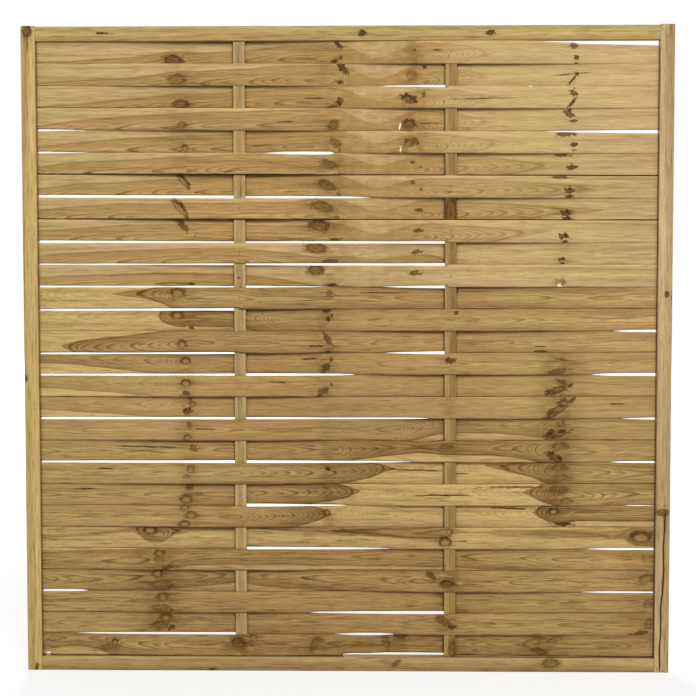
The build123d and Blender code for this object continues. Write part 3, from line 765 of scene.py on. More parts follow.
def pine_group(marks, rings, fibres):
    """Sawn, pressure treated pine: heartwood in sapwood, darker late wood, streaks, stained and knotted."""
    inputs = dict.fromkeys(("Place", "Figure", "Mark", "Mark Kind"), "vector")
    inputs.update(dict.fromkeys(("Edge", "Stain", "Calm"), "value"))
    inputs.update(dict.fromkeys(("Sapwood", "Heartwood"), "colour"))
    inputs.update(dict.fromkeys(("Ring Width", *LOOK_SOCKETS), "value"))
    outputs = {"Colour": "colour", "Roughness": "value", "Height": "value"}
    tree, bench, given, end = node_group("treated_pine", inputs, outputs)

    def placed(group, *names, **more):
        """A group node fed by the inputs of the same names."""
        feeds = {name: given[name] for name in names}
        feeds.update(more)
        return bench.node("ShaderNodeGroup", feeds, node_tree=group).outputs

    def tinted(share, name):
        """The wood multiplied by one of the tints, as far as the share says."""
        return bench.mix(share, wood, TINTS[name], "MULTIPLY")

    mark = placed(marks, "Place", "Mark", "Mark Kind")
    ring = placed(rings, "Place", "Figure", "Ring Width", "Heart Blur", "Rim Width", Push=mark["Push"])
    fibre = placed(fibres, "Place")
    even = bench.math("MULTIPLY_ADD", given["Stain"], 1.0, 1.0, clamp=True)
    lively = bench.line(given["Calm"], 1.0, 0.15)
    plain = bench.line(given["Calm"], 1.0, 0.5)
    wood = bench.mix(bench.times(ring["Heart"], even), given["Sapwood"], given["Heartwood"])
    wood = tinted(bench.times(ring["Heart Edge"], given["Heart Rim"], lively), "heart edge")
    firm = bench.line(given["Calm"], 1.0, 0.6)
    wood = tinted(bench.times(ring["Outline"], given["Heart Rim"], firm), "heart outline")
    low = bench.step(bench.parts(given["Place"])[1], -0.010, -0.028)
    wood = tinted(bench.times(low, bench.step(fibre["Blotch"], 0.4, 0.6)), "pink blotch")
    wood = tinted(bench.times(ring["Late Wood"], given["Ring Depth"], lively), "late wood")
    wood = tinted(bench.times(bench.step(fibre["Streak"], 0.52, 0.24), plain), "dull streak")
    wood = tinted(bench.times(bench.step(fibre["Streak"], 0.5, 0.78), plain), "bright streak")
    wood = tinted(bench.step(fibre["Blotch"], 0.5, 0.75), "green blotch")
    wood = tinted(bench.step(fibre["Blotch"], 0.5, 0.25), "red blotch")
    wood = tinted(bench.times(bench.step(fibre["Grain"], 0.5, 0.28), given["Grain Depth"], plain), "fleck")
    dashes = bench.step(bench.noise(bench.stretched(given["Place"], 40, 300, 300), 1.0), 0.34, 0.26)
    wood = tinted(bench.times(dashes, given["Grain Depth"], 0.45), "dash")
    wood = tinted(bench.step(fibre["Grain"], 0.55, 0.75), "bright grain")
    wood = tinted(bench.step(fibre["Fibre"], 0.52, 0.3), "fibre")
    smear = bench.noise(bench.stretched(given["Place"], 30, 60, 60), 3.0)
    stained = bench.times(bench.math("MAXIMUM", given["Stain"], 0.0), bench.step(smear, 0.25, 0.65))
    wood = tinted(stained, "stain")
    wood = bench.mix(bench.times(mark["Core"], 0.8), wood, tone(*KNOT_CORE))
    wood = bench.mix(bench.times(mark["Rim"], 0.95), wood, tone(*KNOT_RIM))
    wood = bench.mix(bench.times(mark["Eye"], 0.75), wood, tone(*KNOT_EYE))
    wood = bench.mix(mark["Resin"], wood, tone(*RESIN_WHITE))
    # Painted light: an edge value above 0 brightens the arrises as a painted highlight, below 0 darkens them
    # towards a dark colour as painted shade.
    wood = tinted(bench.math("MULTIPLY", given["Edge"], 0.5, clamp=True), "arris highlight")
    wood = bench.mix(bench.math("MULTIPLY", given["Edge"], -0.9, clamp=True), wood, tone(*EDGE_SHADE_COLOUR))
    bench.feed(end["Colour"], wood)
    rough = bench.line(fibre["Streak"], 0.62, 0.8)
    bench.feed(end["Roughness"], bench.less(rough, bench.times(mark["Core"], 0.15)))
    height = bench.add(bench.times(ring["Late Wood"], 0.35), bench.times(fibre["Fibre"], 0.5))
    bench.feed(end["Height"], bench.less(height, bench.times(mark["Rim"], 0.5)))
    return tree


def wood_material(name, sapwood, heartwood, look):
    """Finish of one plank or bar: treated pine with its own two colours, its figure as marked as asked."""
    pine = bpy.data.node_groups.get("treated_pine")
    if pine is None:
        pine = pine_group(mark_group(), ring_group(), fibre_group())
    material = bpy.data.materials.new(name)
    material.use_nodes = True
    bench = Bench(material.node_tree)
    shader = material.node_tree.nodes["Principled BSDF"]
    grain = bench.node("ShaderNodeGroup", node_tree=pine)
    for socket in ("Place", "Figure", "Mark", "Mark Kind"):
        bench.feed(grain.inputs[socket], bench.attribute(socket.lower().replace(" ", "_")))
    for socket in ("Edge", "Stain", "Calm"):
        bench.feed(grain.inputs[socket], bench.attribute(socket.lower(), "Fac"))
    bench.feed(grain.inputs["Sapwood"], tuple(sapwood))
    bench.feed(grain.inputs["Heartwood"], tuple(heartwood))
    bench.feed(grain.inputs["Ring Width"], settings("fence_slats").ring_width)
    for socket, value in zip(LOOK_SOCKETS, LOOKS[look]):
        bench.feed(grain.inputs[socket], value)
    bench.feed(shader.inputs["Base Color"], grain.outputs["Colour"])
    bench.feed(shader.inputs["Roughness"], grain.outputs["Roughness"])
    shader.inputs["Specular IOR Level"].default_value = 0.05
    inputs = {"Height": grain.outputs["Height"], "Strength": 0.5, "Distance": 0.0004}
    bench.feed(shader.inputs["Normal"], bench.node("ShaderNodeBump", inputs).outputs[0])
    return material


def steel_material(name, zinc, rust):
    """Galvanised wire: dull zinc with rust in patches."""
    material = bpy.data.materials.new(name)
    material.use_nodes = True
    bench = Bench(material.node_tree)
    shader = material.node_tree.nodes["Principled BSDF"]
    place = bench.node("ShaderNodeTexCoord").outputs["Object"]
    patch = bench.step(bench.noise(bench.stretched(place, 240, 240, 240), 3.0), 0.42, 0.62)
    bench.feed(shader.inputs["Base Color"], bench.mix(patch, tuple(zinc), tuple(rust)))
    bench.feed(shader.inputs["Metallic"], bench.line(patch, 0.9, 0.1))
    bench.feed(shader.inputs["Roughness"], bench.line(patch, 0.42, 0.85))
    return material


def waver(place, seed, *waves):
    """Smooth wandering line from -1 to 1: a sum of sines with given wave lengths in metres and chance
    phases."""
    phases = np.random.default_rng(seed).uniform(0, 2 * math.pi, len(waves))
    sines = (np.sin(2 * math.pi * place / wave + phase) for wave, phase in zip(waves, phases))
    return sum(sines) / len(waves)


def bent_line(x, knots, heights):
    """Cubic spline through the knots, level at both ends: slopes from the equations that make the second
    derivative run on at every inner knot, then a cubic in each span."""
    step = np.diff(knots)
    rise = np.diff(heights) / step
    count = len(knots)
    rows = np.eye(count)
    right = np.zeros(count)
    inner = np.arange(1, count - 1)
    rows[inner, inner - 1] = 1 / step[:-1]
    rows[inner, inner] = 2 * (1 / step[:-1] + 1 / step[1:])
    rows[inner, inner + 1] = 1 / step[1:]
    right[inner] = 3 * (rise[:-1] / step[:-1] + rise[1:] / step[1:])
    slope = np.linalg.solve(rows, right)
    span = np.clip(np.searchsorted(knots, x, side="right") - 1, 0, count - 2)
    share = (x - knots[span]) / step[span]
    rest = 1 - share
    first = (1 + 2 * share) * rest ** 2 * heights[span] + share ** 2 * (3 - 2 * share) * heights[span + 1]
    second = share * rest ** 2 * slope[span] - share ** 2 * rest * slope[span + 1]
    return first + second * step[span]


def heart_figure(along, across, bands, seed):
    """Half width of the heartwood and offset from its middle line, in centimetres, both following the bands
    with a little wandering. The half width is negative where there is none."""
    x, upper, lower = np.array(bands, float).T * MM
    fine = np.arange(along.min() - 0.05, along.max() + 0.05, 0.002)
    ease = np.hanning(9) / np.hanning(9).sum()
    edges = [np.pad(np.interp(fine, x, edge), 4, mode="edge") for edge in (upper, lower)]
    top, bottom = (np.convolve(edge, ease, "valid") for edge in edges)
    half = (top - bottom) / 2 / CM
    deep = np.clip((half - 2) / 2, 0, 1)
    half = half + (0.32 * waver(fine, seed, 1.9, 0.8) + 0.05 * waver(fine, seed + 2, 0.3, 0.17) - 0.25) * deep
    middle = (top + bottom) / 2 / CM + 0.16 * waver(fine, seed + 1, 0.61, 0.29, 0.17)
    half = np.minimum(half, HEART_RADIUS - 0.1)
    return np.interp(along, fine, half), across / CM - np.interp(along, fine, middle)


def upper_heart(number):
    """Heartwood of a slat of the upper plank: down to the bottom of the V from its left shoulder, up to the
    right one, and tapering from there to its end."""
    heights, low, right, end = UPPER_HEART[number]
    left = heights[-1]
    bands = [(x, height, -60) for x, height in zip(UPPER_STATIONS, heights)]
    for shoulder, slope in (
        (left, ((-15, 0.92), (20, 0.62), (50, 0.25), (72, 0.03))),
        (right, ((90, 0), (112, 0.15), (143, 0.5), (180, 0.85))),
    ):
        bands += [(x, low + share * (shoulder - low), -60) for x, share in slope]
    tail = min(0, 2 * (right - 10))
    return bands + [(225, right, -60), (0.7 * 225 + 0.3 * end, right * 0.8 + tail * 0.3, -44 + tail * 0.3),
                    (end, tail, tail), (end + 90, tail - 12, tail + 12), (960, tail - 20, tail + 20)]


def nearest_marks(along, across, marks):
    """For every face corner, the offset from the face's nearest mark in that mark's half widths, turned by
    its lean, with its darkness, and its kind with its radius in centimetres. Arrays are face by corner."""
    offset = np.full((*along.shape, 3), 99.0)
    offset[..., 2] = 0
    kind = np.zeros((*along.shape, 3))
    best = np.full(len(along), np.inf)
    for x, height, half_length, half_width, lean, (stain, pale), dark in marks:
        turn = math.radians(lean)
        right = along - x * MM
        up = across - height * MM
        u = (right * math.cos(turn) + up * math.sin(turn)) / (half_length * MM)
        v = (up * math.cos(turn) - right * math.sin(turn)) / (half_width * MM)
        far = np.minimum(u.mean(axis=1) ** 2 + v.mean(axis=1) ** 2, (u ** 2 + v ** 2).min(axis=1))
        far = far * (0.3 if stain > 0.6 else 1.0)
        won = far < best
        best[won] = far[won]
        offset[won] = np.stack([u, v, np.full_like(u, dark)], axis=-1)[won]
        kind[won] = (stain, pale, half_width * MM / CM)
    return offset, kind


def haze(along, across, marks):
    """Stained wood round the knots, drawn out along the grain: a sum of bell curves, from 0 to 1."""
    total = np.zeros(np.broadcast_shapes(along.shape, across.shape))
    for x, height, half_length, half_width, _, (stain, _), dark in marks:
        right = (along - x * MM) / (2.4 * half_length * MM)
        up = (across - height * MM) / (1.2 * half_width * MM)
        total += 0.6 * stain * dark * np.exp(-right ** 2 - up ** 2)
    return np.minimum(total, 1)


def carried(name, points, along, across, through, edge, stain, calm, bands, marks, seed, shift):
    """Closed piece: a section carried along a path. Points are station by section point; the attributes give
    every point its place in the plank, its figure of growth rings and its distance from knots."""
    stations, around = points.shape[:2]
    rows = np.arange(stations - 1)[:, None] * around
    columns = np.arange(around)[None, :]
    ahead = (columns + 1) % around
    quads = np.stack([rows + columns, rows + ahead, rows + around + ahead, rows + around + columns], axis=-1)
    quads = quads.reshape(-1, 4)
    first = np.arange(around)[::-1]
    last = np.arange(around) + (stations - 1) * around
    flat = points.reshape(-1, 3)
    corner = flat[quads]
    volume = (corner[:, 0] * np.cross(corner[:, 1], corner[:, 2])).sum()
    volume += (corner[:, 0] * np.cross(corner[:, 2], corner[:, 3])).sum()
    if volume < 0:
        quads = quads[:, ::-1]
        first = first[::-1]
        last = last[::-1]
    mesh = bpy.data.meshes.new(name)
    mesh.from_pydata(flat.tolist(), [], quads.tolist() + [first.tolist(), last.tolist()])
    smooth = np.ones(len(quads) + 2, bool)
    smooth[-2:] = False
    mesh.polygons.foreach_set("use_smooth", smooth)
    s, w, t = (np.broadcast_to(part, (stations, around)).ravel() for part in (along, across, through))
    half, offset = heart_figure(s, w, bands, seed)
    corners = np.concatenate([quads.ravel(), first, last])
    mark, kind = nearest_marks(s[quads], w[quads], marks)
    blank = np.tile([99.0, 99.0, 0.0], (2 * around, 1))
    per_point = {
        "place": np.stack([s, w, t + shift], axis=1),
        "figure": np.stack([half, offset, t / CM], axis=1),
    }
    per_corner = {
        "mark": np.concatenate([mark.reshape(-1, 3), blank]),
        "mark_kind": np.concatenate([kind.reshape(-1, 3), np.zeros((2 * around, 3))]),
    }
    for domain, fields in (("POINT", per_point), ("CORNER", per_corner)):
        for field, values in fields.items():
            layer = mesh.attributes.new(field, "FLOAT_VECTOR", domain)
            layer.data.foreach_set("vector", values.astype(np.float32).ravel())
    # The edge attribute carries painted light: painted highlights and painted shade along arrises, cracks and
    # joints.
    for field, values in (("edge", edge), ("stain", stain), ("calm", calm)):
        layer = mesh.attributes.new(field, "FLOAT", "POINT")
        spread = np.broadcast_to(values, (stations, around))
        layer.data.foreach_set("value", spread.ravel().astype(np.float32))
    mesh.validate()
    if len(mesh.loops) != len(corners):
        raise RuntimeError(f"{name} has stray faces")
    piece = bpy.data.objects.new(name, mesh)
    bpy.context.collection.objects.link(piece)
    return piece


def finish_piece(piece, node, material):
    """Gives a piece its finish and sets it in place of its CAD node."""
    piece.data.materials.append(material)
    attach(piece, "root")
    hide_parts(node)


def slat_section():
    """Rounded rectangle as shares: across = F (half width - arris) + C arris, through = T (half thickness -
    arris) + S arris. Also the painted light: 1 on the upper arris, later a painted highlight or painted
    shade, -1 on the lower one for painted shade, 0 between."""
    face = np.array([-0.95, -0.89, -0.6, -0.3, 0, 0.3, 0.6, 0.85, 0.92])
    arris_light = np.array([-1, 0, 0, 0, 0, 0, 0.1, 0.5, 0.8])
    bend = np.radians([0, 30, 60, 90])
    rows = []
    for turn, corner in enumerate(((1, -1), (1, 1), (-1, 1), (-1, -1))):
        angles = bend - math.pi / 2 + turn * math.pi / 2
        rows += [(corner[0], math.cos(a), corner[1], math.sin(a), corner[0]) for a in angles]
        if turn == 1:
            rows += [(share, 0, 1, 1, lightness) for share, lightness in zip(face[::-1], arris_light[::-1])]
        if turn == 3:
            rows += [(share, 0, -1, -1, lightness) for share, lightness in zip(face, arris_light)]
    return np.array(rows).T


def slat_edges(node, x):
    """Upper and lower edge of a slat along X, read from the CAD faces that look up and down."""
    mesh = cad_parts[node].data
    points = np.empty(len(mesh.vertices) * 3)
    mesh.vertices.foreach_get("co", points)
    normals = np.empty(len(mesh.polygons) * 3)
    mesh.polygons.foreach_get("normal", normals)
    corners = np.empty(len(mesh.loops), int)
    mesh.loops.foreach_get("vertex_index", corners)
    place, _, z = points.reshape(-1, 3)[corners].T
    facing = np.repeat(normals.reshape(-1, 3)[:, 2], 3)
    middle = (z.min() + z.max()) / 2
    edges = []
    for way in (1, -1):
        side = (way * facing > 0.5) & (way * (z - middle) > 15 * MM)
        places, found = np.unique(np.round(place[side], 6), return_index=True)
        edges.append(np.interp(x, places, z[side][found]))
    return edges


def daylight(x, joint):
    """Height of the daylight wanted at one joint: straight lines through the table's points, else none."""
    wanted = np.zeros_like(x)
    for opening in OPEN_JOINTS.get(joint, []):
        place, gap = np.array(opening, float).T * MM
        wanted = np.maximum(wanted, np.interp(x, place, gap, left=0, right=0))
    return wanted


# Where a joint looks closed, the rear slat reaches this far behind the front one. The reach starts where
# their faces overlap by 2 mm in depth and is full 1.5 mm on. Less daylight than the least counts as none.
HIDDEN_OVERLAP = 0.6 * MM
CLEAR_START = -2 * MM
CLEAR_RISE = 1.5 * MM
LEAST_DAYLIGHT = 0.05 * MM


def fitted_edges(x, top, bottom, line):
    """Edges moved so that every joint shows its daylight from the front, or looks closed. A sight line that
    falls by slope for each metre inwards sees gap - slope (upper depth - lower depth) - |slope| (their half
    thicknesses). Where a joint looks closed and the neighbours lie at different depths, the rear one
    reaches a little way behind the front one; where they cross, their edges touch."""
    eye = settings("fence_stage").camera_place
    rail_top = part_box("top_rail")[0].z
    rail_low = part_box("bottom_rail")[1].z
    level = np.zeros_like(x)
    count = len(top)
    for joint in range(count + 1):
        under_rail = joint == 0
        on_rail = joint == count
        upper = level + rail_top if under_rail else bottom[joint - 1]
        lower = level + rail_low if on_rail else top[joint]
        upper_depth = level if under_rail else line[joint - 1]
        lower_depth = level if on_rail else line[joint]
        halves = SLAT_THICKNESS / 2 + (FRAME_HALF_DEPTH if under_rail or on_rail else SLAT_THICKNESS / 2)
        middle = np.polyval(np.polyfit(x, (upper + lower) / 2, 1), x)
        if under_rail:
            middle = upper
        if on_rail:
            middle = lower
        slope = (middle.mean() - eye[2]) / -eye[1]
        wanted = daylight(x, joint)
        open_here = wanted > LEAST_DAYLIGHT
        apart = upper_depth - lower_depth
        gap = np.where(open_here, wanted, -HIDDEN_OVERLAP) + slope * apart + abs(slope) * halves
        clear = np.clip((np.abs(apart) - halves - CLEAR_START) / CLEAR_RISE, 0, 1)
        gap = np.where(open_here, gap, np.minimum(gap, 0))
        gap = np.where(gap < 0, gap * clear, gap)
        rear = np.where(gap < 0, np.where(apart > 0, 1.0, 0.0), 0.5)
        if under_rail:
            rear = np.zeros_like(x)
        if on_rail:
            rear = np.ones_like(x)
        if not under_rail:
            bottom[joint - 1] = middle + rear * gap
        if not on_rail:
            top[joint] = middle - (1 - rear) * gap


# Stations along a slat, the least step between two, and the bent stretch beside a batten or stile that
# stays free of cup and twist: where it starts and how long it is
SLAT_STATIONS = 250
LEAST_STEP = 0.4 * MM
STIFF_START = 5 * MM
STIFF_LENGTH = 90 * MM

# Strips of painted shade: half width beside a batten, and where the one at a stile starts and how far it
# rises
BATTEN_SHADE_WIDTH = 3.5 * MM
STILE_SHADE_START = 855.5 * MM
STILE_SHADE_RISE = 3 * MM

# Stretches along X: where the right half of a faded slat starts and how far it fades, the same towards both
# ends of the middle and lower slats, the middle and half length of the V in the upper ones, and how fast
# a slat grows calm
FADE_START = 190 * MM
FADE_LENGTH = 170 * MM
END_FADE_START = 330 * MM
END_FADE_LENGTH = 150 * MM
FOLD_MIDDLE = 95 * MM
FOLD_REACH = 120 * MM
CALM_RISE = 20 * MM


class FENCE_OT_slats(bpy.types.Operator):
    """Twenty-eight thin slats, bent round the battens"""

    bl_idname = "fence.slats"
    bl_label = "Woven slats"

    def execute(self, context):
        chosen = settings("fence_slats")
        low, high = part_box(SLATS[0])
        knots = [low.x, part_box("left_stile")[1].x]
        for near, far in (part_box("left_batten"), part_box("right_batten")):
            knots += [near.x, far.x]
        knots = np.array(knots + [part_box("right_stile")[0].x, high.x])
        openings = [opening for joint in OPEN_JOINTS.values() for opening in joint]
        ends = [place * MM for opening in openings for place, _ in opening]
        ends = [place for place in ends if low.x < place < high.x]
        x = np.unique(np.concatenate([np.linspace(low.x, high.x, SLAT_STATIONS), ends, knots]))
        x = x[np.concatenate([[True], np.diff(x) > LEAST_STEP])]
        bow = (high.y - low.y - SLAT_THICKNESS) / 2
        wave = bow * np.array([0, 0, 1, 1, -1, -1, 0, 0.0])
        line = np.array([bent_line(x, knots, -wave if row % 2 else wave) for row in range(len(SLATS))])
        edges = np.array([slat_edges(node, x) for node in SLATS])
        top, bottom = edges[:, 0], edges[:, 1]
        fitted_edges(x, top, bottom, line)
        free = np.min(np.abs(x[:, None] - knots[None, :]), axis=1)
        free = np.clip((free - STIFF_START) / STIFF_LENGTH, 0, 1)
        free = free * free * (3 - 2 * free)
        for plank, numbers in PLANKS.items():
            word = plank.split("_")[0]
            material = wood_material(f"{plank}_wood", getattr(chosen, f"{word}_sapwood"),
                                     getattr(chosen, f"{word}_heartwood"), plank)
            for order, number in enumerate(numbers):
                row = number - 1
                self.slat(number, x, top[row], bottom[row], line[row], free, material, order * SAW_STEP)
        return {"FINISHED"}

    def slat(self, number, x, top, bottom, line, free, material, shift):
        """One slat: a rounded section carried along its bent line, as wide as its two edges are apart."""
        chosen = settings("fence_slats")
        share, curve, side, turn, painted_light = slat_section()
        half = (top - bottom)[:, None] / 2
        across = share * (half - chosen.arris) + curve * chosen.arris
        through = side * (SLAT_THICKNESS / 2 - chosen.arris) + turn * chosen.arris
        lean = chosen.twist * waver(x, number + 80, 1.1, 0.57) * free
        sag = chosen.cup * waver(x, number + 120, 1.7, 0.9) * free
        reach = across / half
        points = np.empty((len(x), len(share), 3))
        points[..., 0] = x[:, None]
        points[..., 1] = line[:, None] + through + lean[:, None] * reach + sag[:, None] * (reach ** 2 - 0.4)
        points[..., 2] = (top + bottom)[:, None] / 2 + across
        painted_light = self.painted_light(number, x, line, side, painted_light)
        stain, calm = self.stain(number, x)
        stain = stain[:, None] + haze(x[:, None], across, SLAT_MARKS[number])
        bands = HEART[number] if number in HEART else upper_heart(number)
        piece = carried(f"woven_slat_{number:02d}", points, x[:, None], across, through, painted_light, stain,
                        calm[:, None], bands, SLAT_MARKS[number], number * 7, shift)
        finish_piece(piece, SLATS[number - 1], material)

    def painted_light(self, number, x, line, side, painted_light):
        """Painted light on the arrises: a painted highlight on the upper one where the slat stands out,
        painted shade there where it lies behind, and painted shade below, beside the battens that hide it and
        at its ends in the stiles."""
        batten_shade = np.zeros_like(x)
        for near, far in (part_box("left_batten"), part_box("right_batten")):
            batten_shade += sum(np.exp(-((x - place) / BATTEN_SHADE_WIDTH) ** 2) for place in (near.x, far.x))
        batten_shade = np.where(line > 0, -batten_shade, batten_shade)[:, None] * side
        ends = np.clip((np.abs(x) - STILE_SHADE_START) / STILE_SHADE_RISE, 0, 1)[:, None]
        front = np.clip(line / line.min(), 0, 1)[:, None]
        back = np.clip(line / line.max(), 0, 1)[:, None]
        painted_shade = LOWER_EDGE_SHADE.get(number, 0.5) * (0.75 + 0.4 * waver(x, number + 40, 0.47, 0.21, 0.09))[:, None]
        upper_light = 0.25 + 0.65 * front - 1.2 * back
        return np.where(painted_light < 0, painted_shade, upper_light) * painted_light - 0.4 * np.maximum(batten_shade, 0) - 0.8 * ends

    def stain(self, number, x):
        """Brown stain along a slat, less where it is faded, and how calm its figure is, both from 0 to 1.
        The upper slats are calm and stained at the V in their heart."""
        stain = sum(strength * np.exp(-((x - place * MM) / (size * MM)) ** 2)
                    for place, size, first, last, strength in WHORLS if first <= number <= last)
        faded = FADED.get(number, 0) * np.clip((x - FADE_START) / FADE_LENGTH, 0, 1)
        if number in PLANKS["upper_plank"]:
            calm = np.maximum(faded, np.exp(-((x - FOLD_MIDDLE) / FOLD_REACH) ** 4))
            stain = stain + 0.35 * np.maximum(calm - faded, 0)
        else:
            start, strength = CALM.get(number, (0, 0))
            calm = strength * np.clip((x - start * MM) / CALM_RISE, 0, 1)
            faded = np.maximum(faded, 0.35 * np.clip((np.abs(x) - END_FADE_START) / END_FADE_LENGTH, 0, 1))
        return np.broadcast_to(stain - faded, x.shape), calm


def bar_section(half_across, half_through, arris, crack, crack_half, crack_depth, groove):
    """Section of a bar at every station: a rounded rectangle with a narrow V that follows the crack on the
    front face, and a groove in the face on the positive side. Groove is its half width and depth, or None."""
    bend = np.radians([0, 22.5, 45, 67.5, 90])
    level = np.ones_like(crack)
    points = []

    def put(across, through, painted_light=0.0):
        """Adds a point with its painted light."""
        points.append((across * level, through * level, painted_light * level))

    # Rounded corners carry a painted highlight of 0.4.
    def corner(way_across, way_through, start):
        """Adds a rounded corner."""
        for angle in bend + start:
            put(way_across * (half_across - arris) + arris * math.cos(angle),
                way_through * (half_through - arris) + arris * math.sin(angle), 0.4)

    corner(1, -1, -math.pi / 2)
    if groove:
        for across, through in ((0, -1), (-1, -1), (-1, 1), (0, 1)):
            put(half_across + across * groove[1], through * groove[0])
    else:
        put(half_across, 0.0)
    corner(1, 1, 0)
    for share in (0.6, 0.2, -0.2, -0.6):
        put(share * (half_across - arris), half_through)
    corner(-1, 1, math.pi / 2)
    put(-half_across, 0.0)
    corner(-1, -1, math.pi)
    start = -(half_across - arris)
    left = crack - crack_half
    right = crack + crack_half
    # Painted shade in the crack, darker where the crack is deeper, full at 2 mm.
    painted_shade = -np.clip(crack_depth / (2 * MM), 0, 1)
    for share in (0.12, 0.9, 1.0):
        put(start + (left - start) * share, -half_through, painted_shade * (share == 1))
    points.append((crack, -half_through + crack_depth, painted_shade))
    for share in (0.0, 0.1, 0.88):
        put(right + (-start - right) * share, -half_through, painted_shade * (share == 0))
    return (np.stack(part, axis=1) for part in zip(*points))


def bar(name, node, upright, groove_side, groove, arris, easing, crack, crack_half, crack_depth):
    """A frame bar or batten: its section carried along Z or X with bevelled ends, in its CAD node's box."""
    low, high = (np.array(corner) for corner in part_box(node))
    run, wide = (2, 0) if upright else (0, 2)
    if groove is None or not upright:
        low, high = trimmed(node, low, high, run)
    middle = (low + high) / 2
    half = (high - low) / 2
    ends = np.array([0, easing])
    inner = np.linspace(low[run] + 4 * easing, high[run] - 4 * easing, 120)
    s = np.concatenate([low[run] + ends, inner, high[run] - ends[::-1]])
    shrink = np.ones(len(s))
    shrink[[0, -1]] = 1 - easing / half[wide]
    line = np.interp(s, *crack[0:2]) * groove_side
    depth = np.interp(s, crack[0], crack[2]) * crack_depth
    across, through, painted_light = bar_section(half[wide], half[1], arris, line, crack_half, depth, groove)
    across = across * groove_side * shrink[:, None]
    through = through * shrink[:, None]
    points = np.empty((*across.shape, 3))
    points[..., run] = s[:, None]
    points[..., wide] = middle[wide] + across
    points[..., 1] = middle[1] + through
    seed = sum(map(ord, node))
    stain = haze(s[:, None], across, BAR_MARKS[node])
    return carried(name, points, s[:, None], across, through, painted_light, stain, 0.0, BAR_HEART[node],
                   BAR_MARKS[node], seed, seed * MM)


def trimmed(node, low, high, run):
    """Box of a rail or batten without the stub tenons at its two ends: they lie in the grooves, unseen."""
    first, last = (("left_stile", "right_stile"), ("bottom_rail", "top_rail"))[run == 2]
    low[run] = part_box(first)[1][run]
    high[run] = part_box(last)[0][run]
    return low, high


# Cracks in a bar's front face: heights, offsets from its middle line in metres, and shares of full depth
SOUND = ([-1.0, 2.0], [0.0, 0.0], [0.0, 0.0])
STILE_CRACK = (
    [0.0, 0.012, 0.06, 0.13, 0.19, 0.23, 0.29, 0.35, 0.40, 0.435, 0.46, 2.0],
    [-0.005, -0.005, -0.006, -0.003, -0.0035, 0.001, 0.004, 0.002, 0.005, 0.006, 0.006, 0.006],
    [0.0, 0.5, 0.7, 0.6, 0.9, 0.8, 0.9, 0.7, 1.0, 1.0, 0.0, 0.0],
)


class FENCE_OT_frame(bpy.types.Operator):
    """Two stiles and two rails of one grooved section"""

    bl_idname = "fence.frame"
    bl_label = "Frame"

    def execute(self, context):
        chosen = settings("fence_frame")
        groove = (GROOVE_HALF_WIDTH, GROOVE_DEPTH)
        for node, upright, side in (
            ("left_stile", True, 1), ("right_stile", True, -1),
            ("top_rail", False, -1), ("bottom_rail", False, 1),
        ):
            word = node.split("_")[0]
            material = wood_material(f"{node}_wood", getattr(chosen, f"{word}_sapwood"),
                                     getattr(chosen, f"{word}_heartwood"), "frame")
            crack = STILE_CRACK if node == "right_stile" else SOUND
            piece = bar(f"{node}_bar", node, upright, side, groove, chosen.arris, chosen.end_easing, crack,
                        chosen.crack_width, chosen.crack_depth)
            finish_piece(piece, node, material)
        return {"FINISHED"}


class FENCE_OT_battens(bpy.types.Operator):
    """Two upright battens that the slats are woven round"""

    bl_idname = "fence.battens"
    bl_label = "Battens"

    def execute(self, context):
        chosen = settings("fence_battens")
        frame_chosen = settings("fence_frame")
        for node in ("left_batten", "right_batten"):
            word = node.split("_")[0]
            material = wood_material(f"{node}_wood", getattr(chosen, f"{word}_sapwood"),
                                     getattr(chosen, f"{word}_heartwood"), "battens")
            piece = bar(f"{node}_upright", node, True, 1, None, chosen.arris, frame_chosen.end_easing, SOUND,
                        frame_chosen.crack_width, 0.0)
            finish_piece(piece, node, material)
        return {"FINISHED"}


class FENCE_OT_fixings(bpy.types.Operator):
    """Steel of the staples and corner nails"""

    bl_idname = "fence.fixings"
    bl_label = "Fixings"

    def execute(self, context):
        chosen = settings("fence_fixings")
        material = steel_material("galvanised_wire", chosen.zinc, chosen.rust)
        for node in ("slat_staples", "corner_nails"):
            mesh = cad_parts[node].data
            mesh.materials.clear()
            mesh.materials.append(material)
        return {"FINISHED"}


def backdrop_share(bench):
    """1 for rays that should see the plain white surroundings: camera, glossy and transmission rays."""
    rays = bench.node("ShaderNodeLightPath").outputs
    seen = bench.add(rays["Is Camera Ray"], rays["Is Glossy Ray"])
    return bench.math("ADD", seen, rays["Is Transmission Ray"], clamp=True)


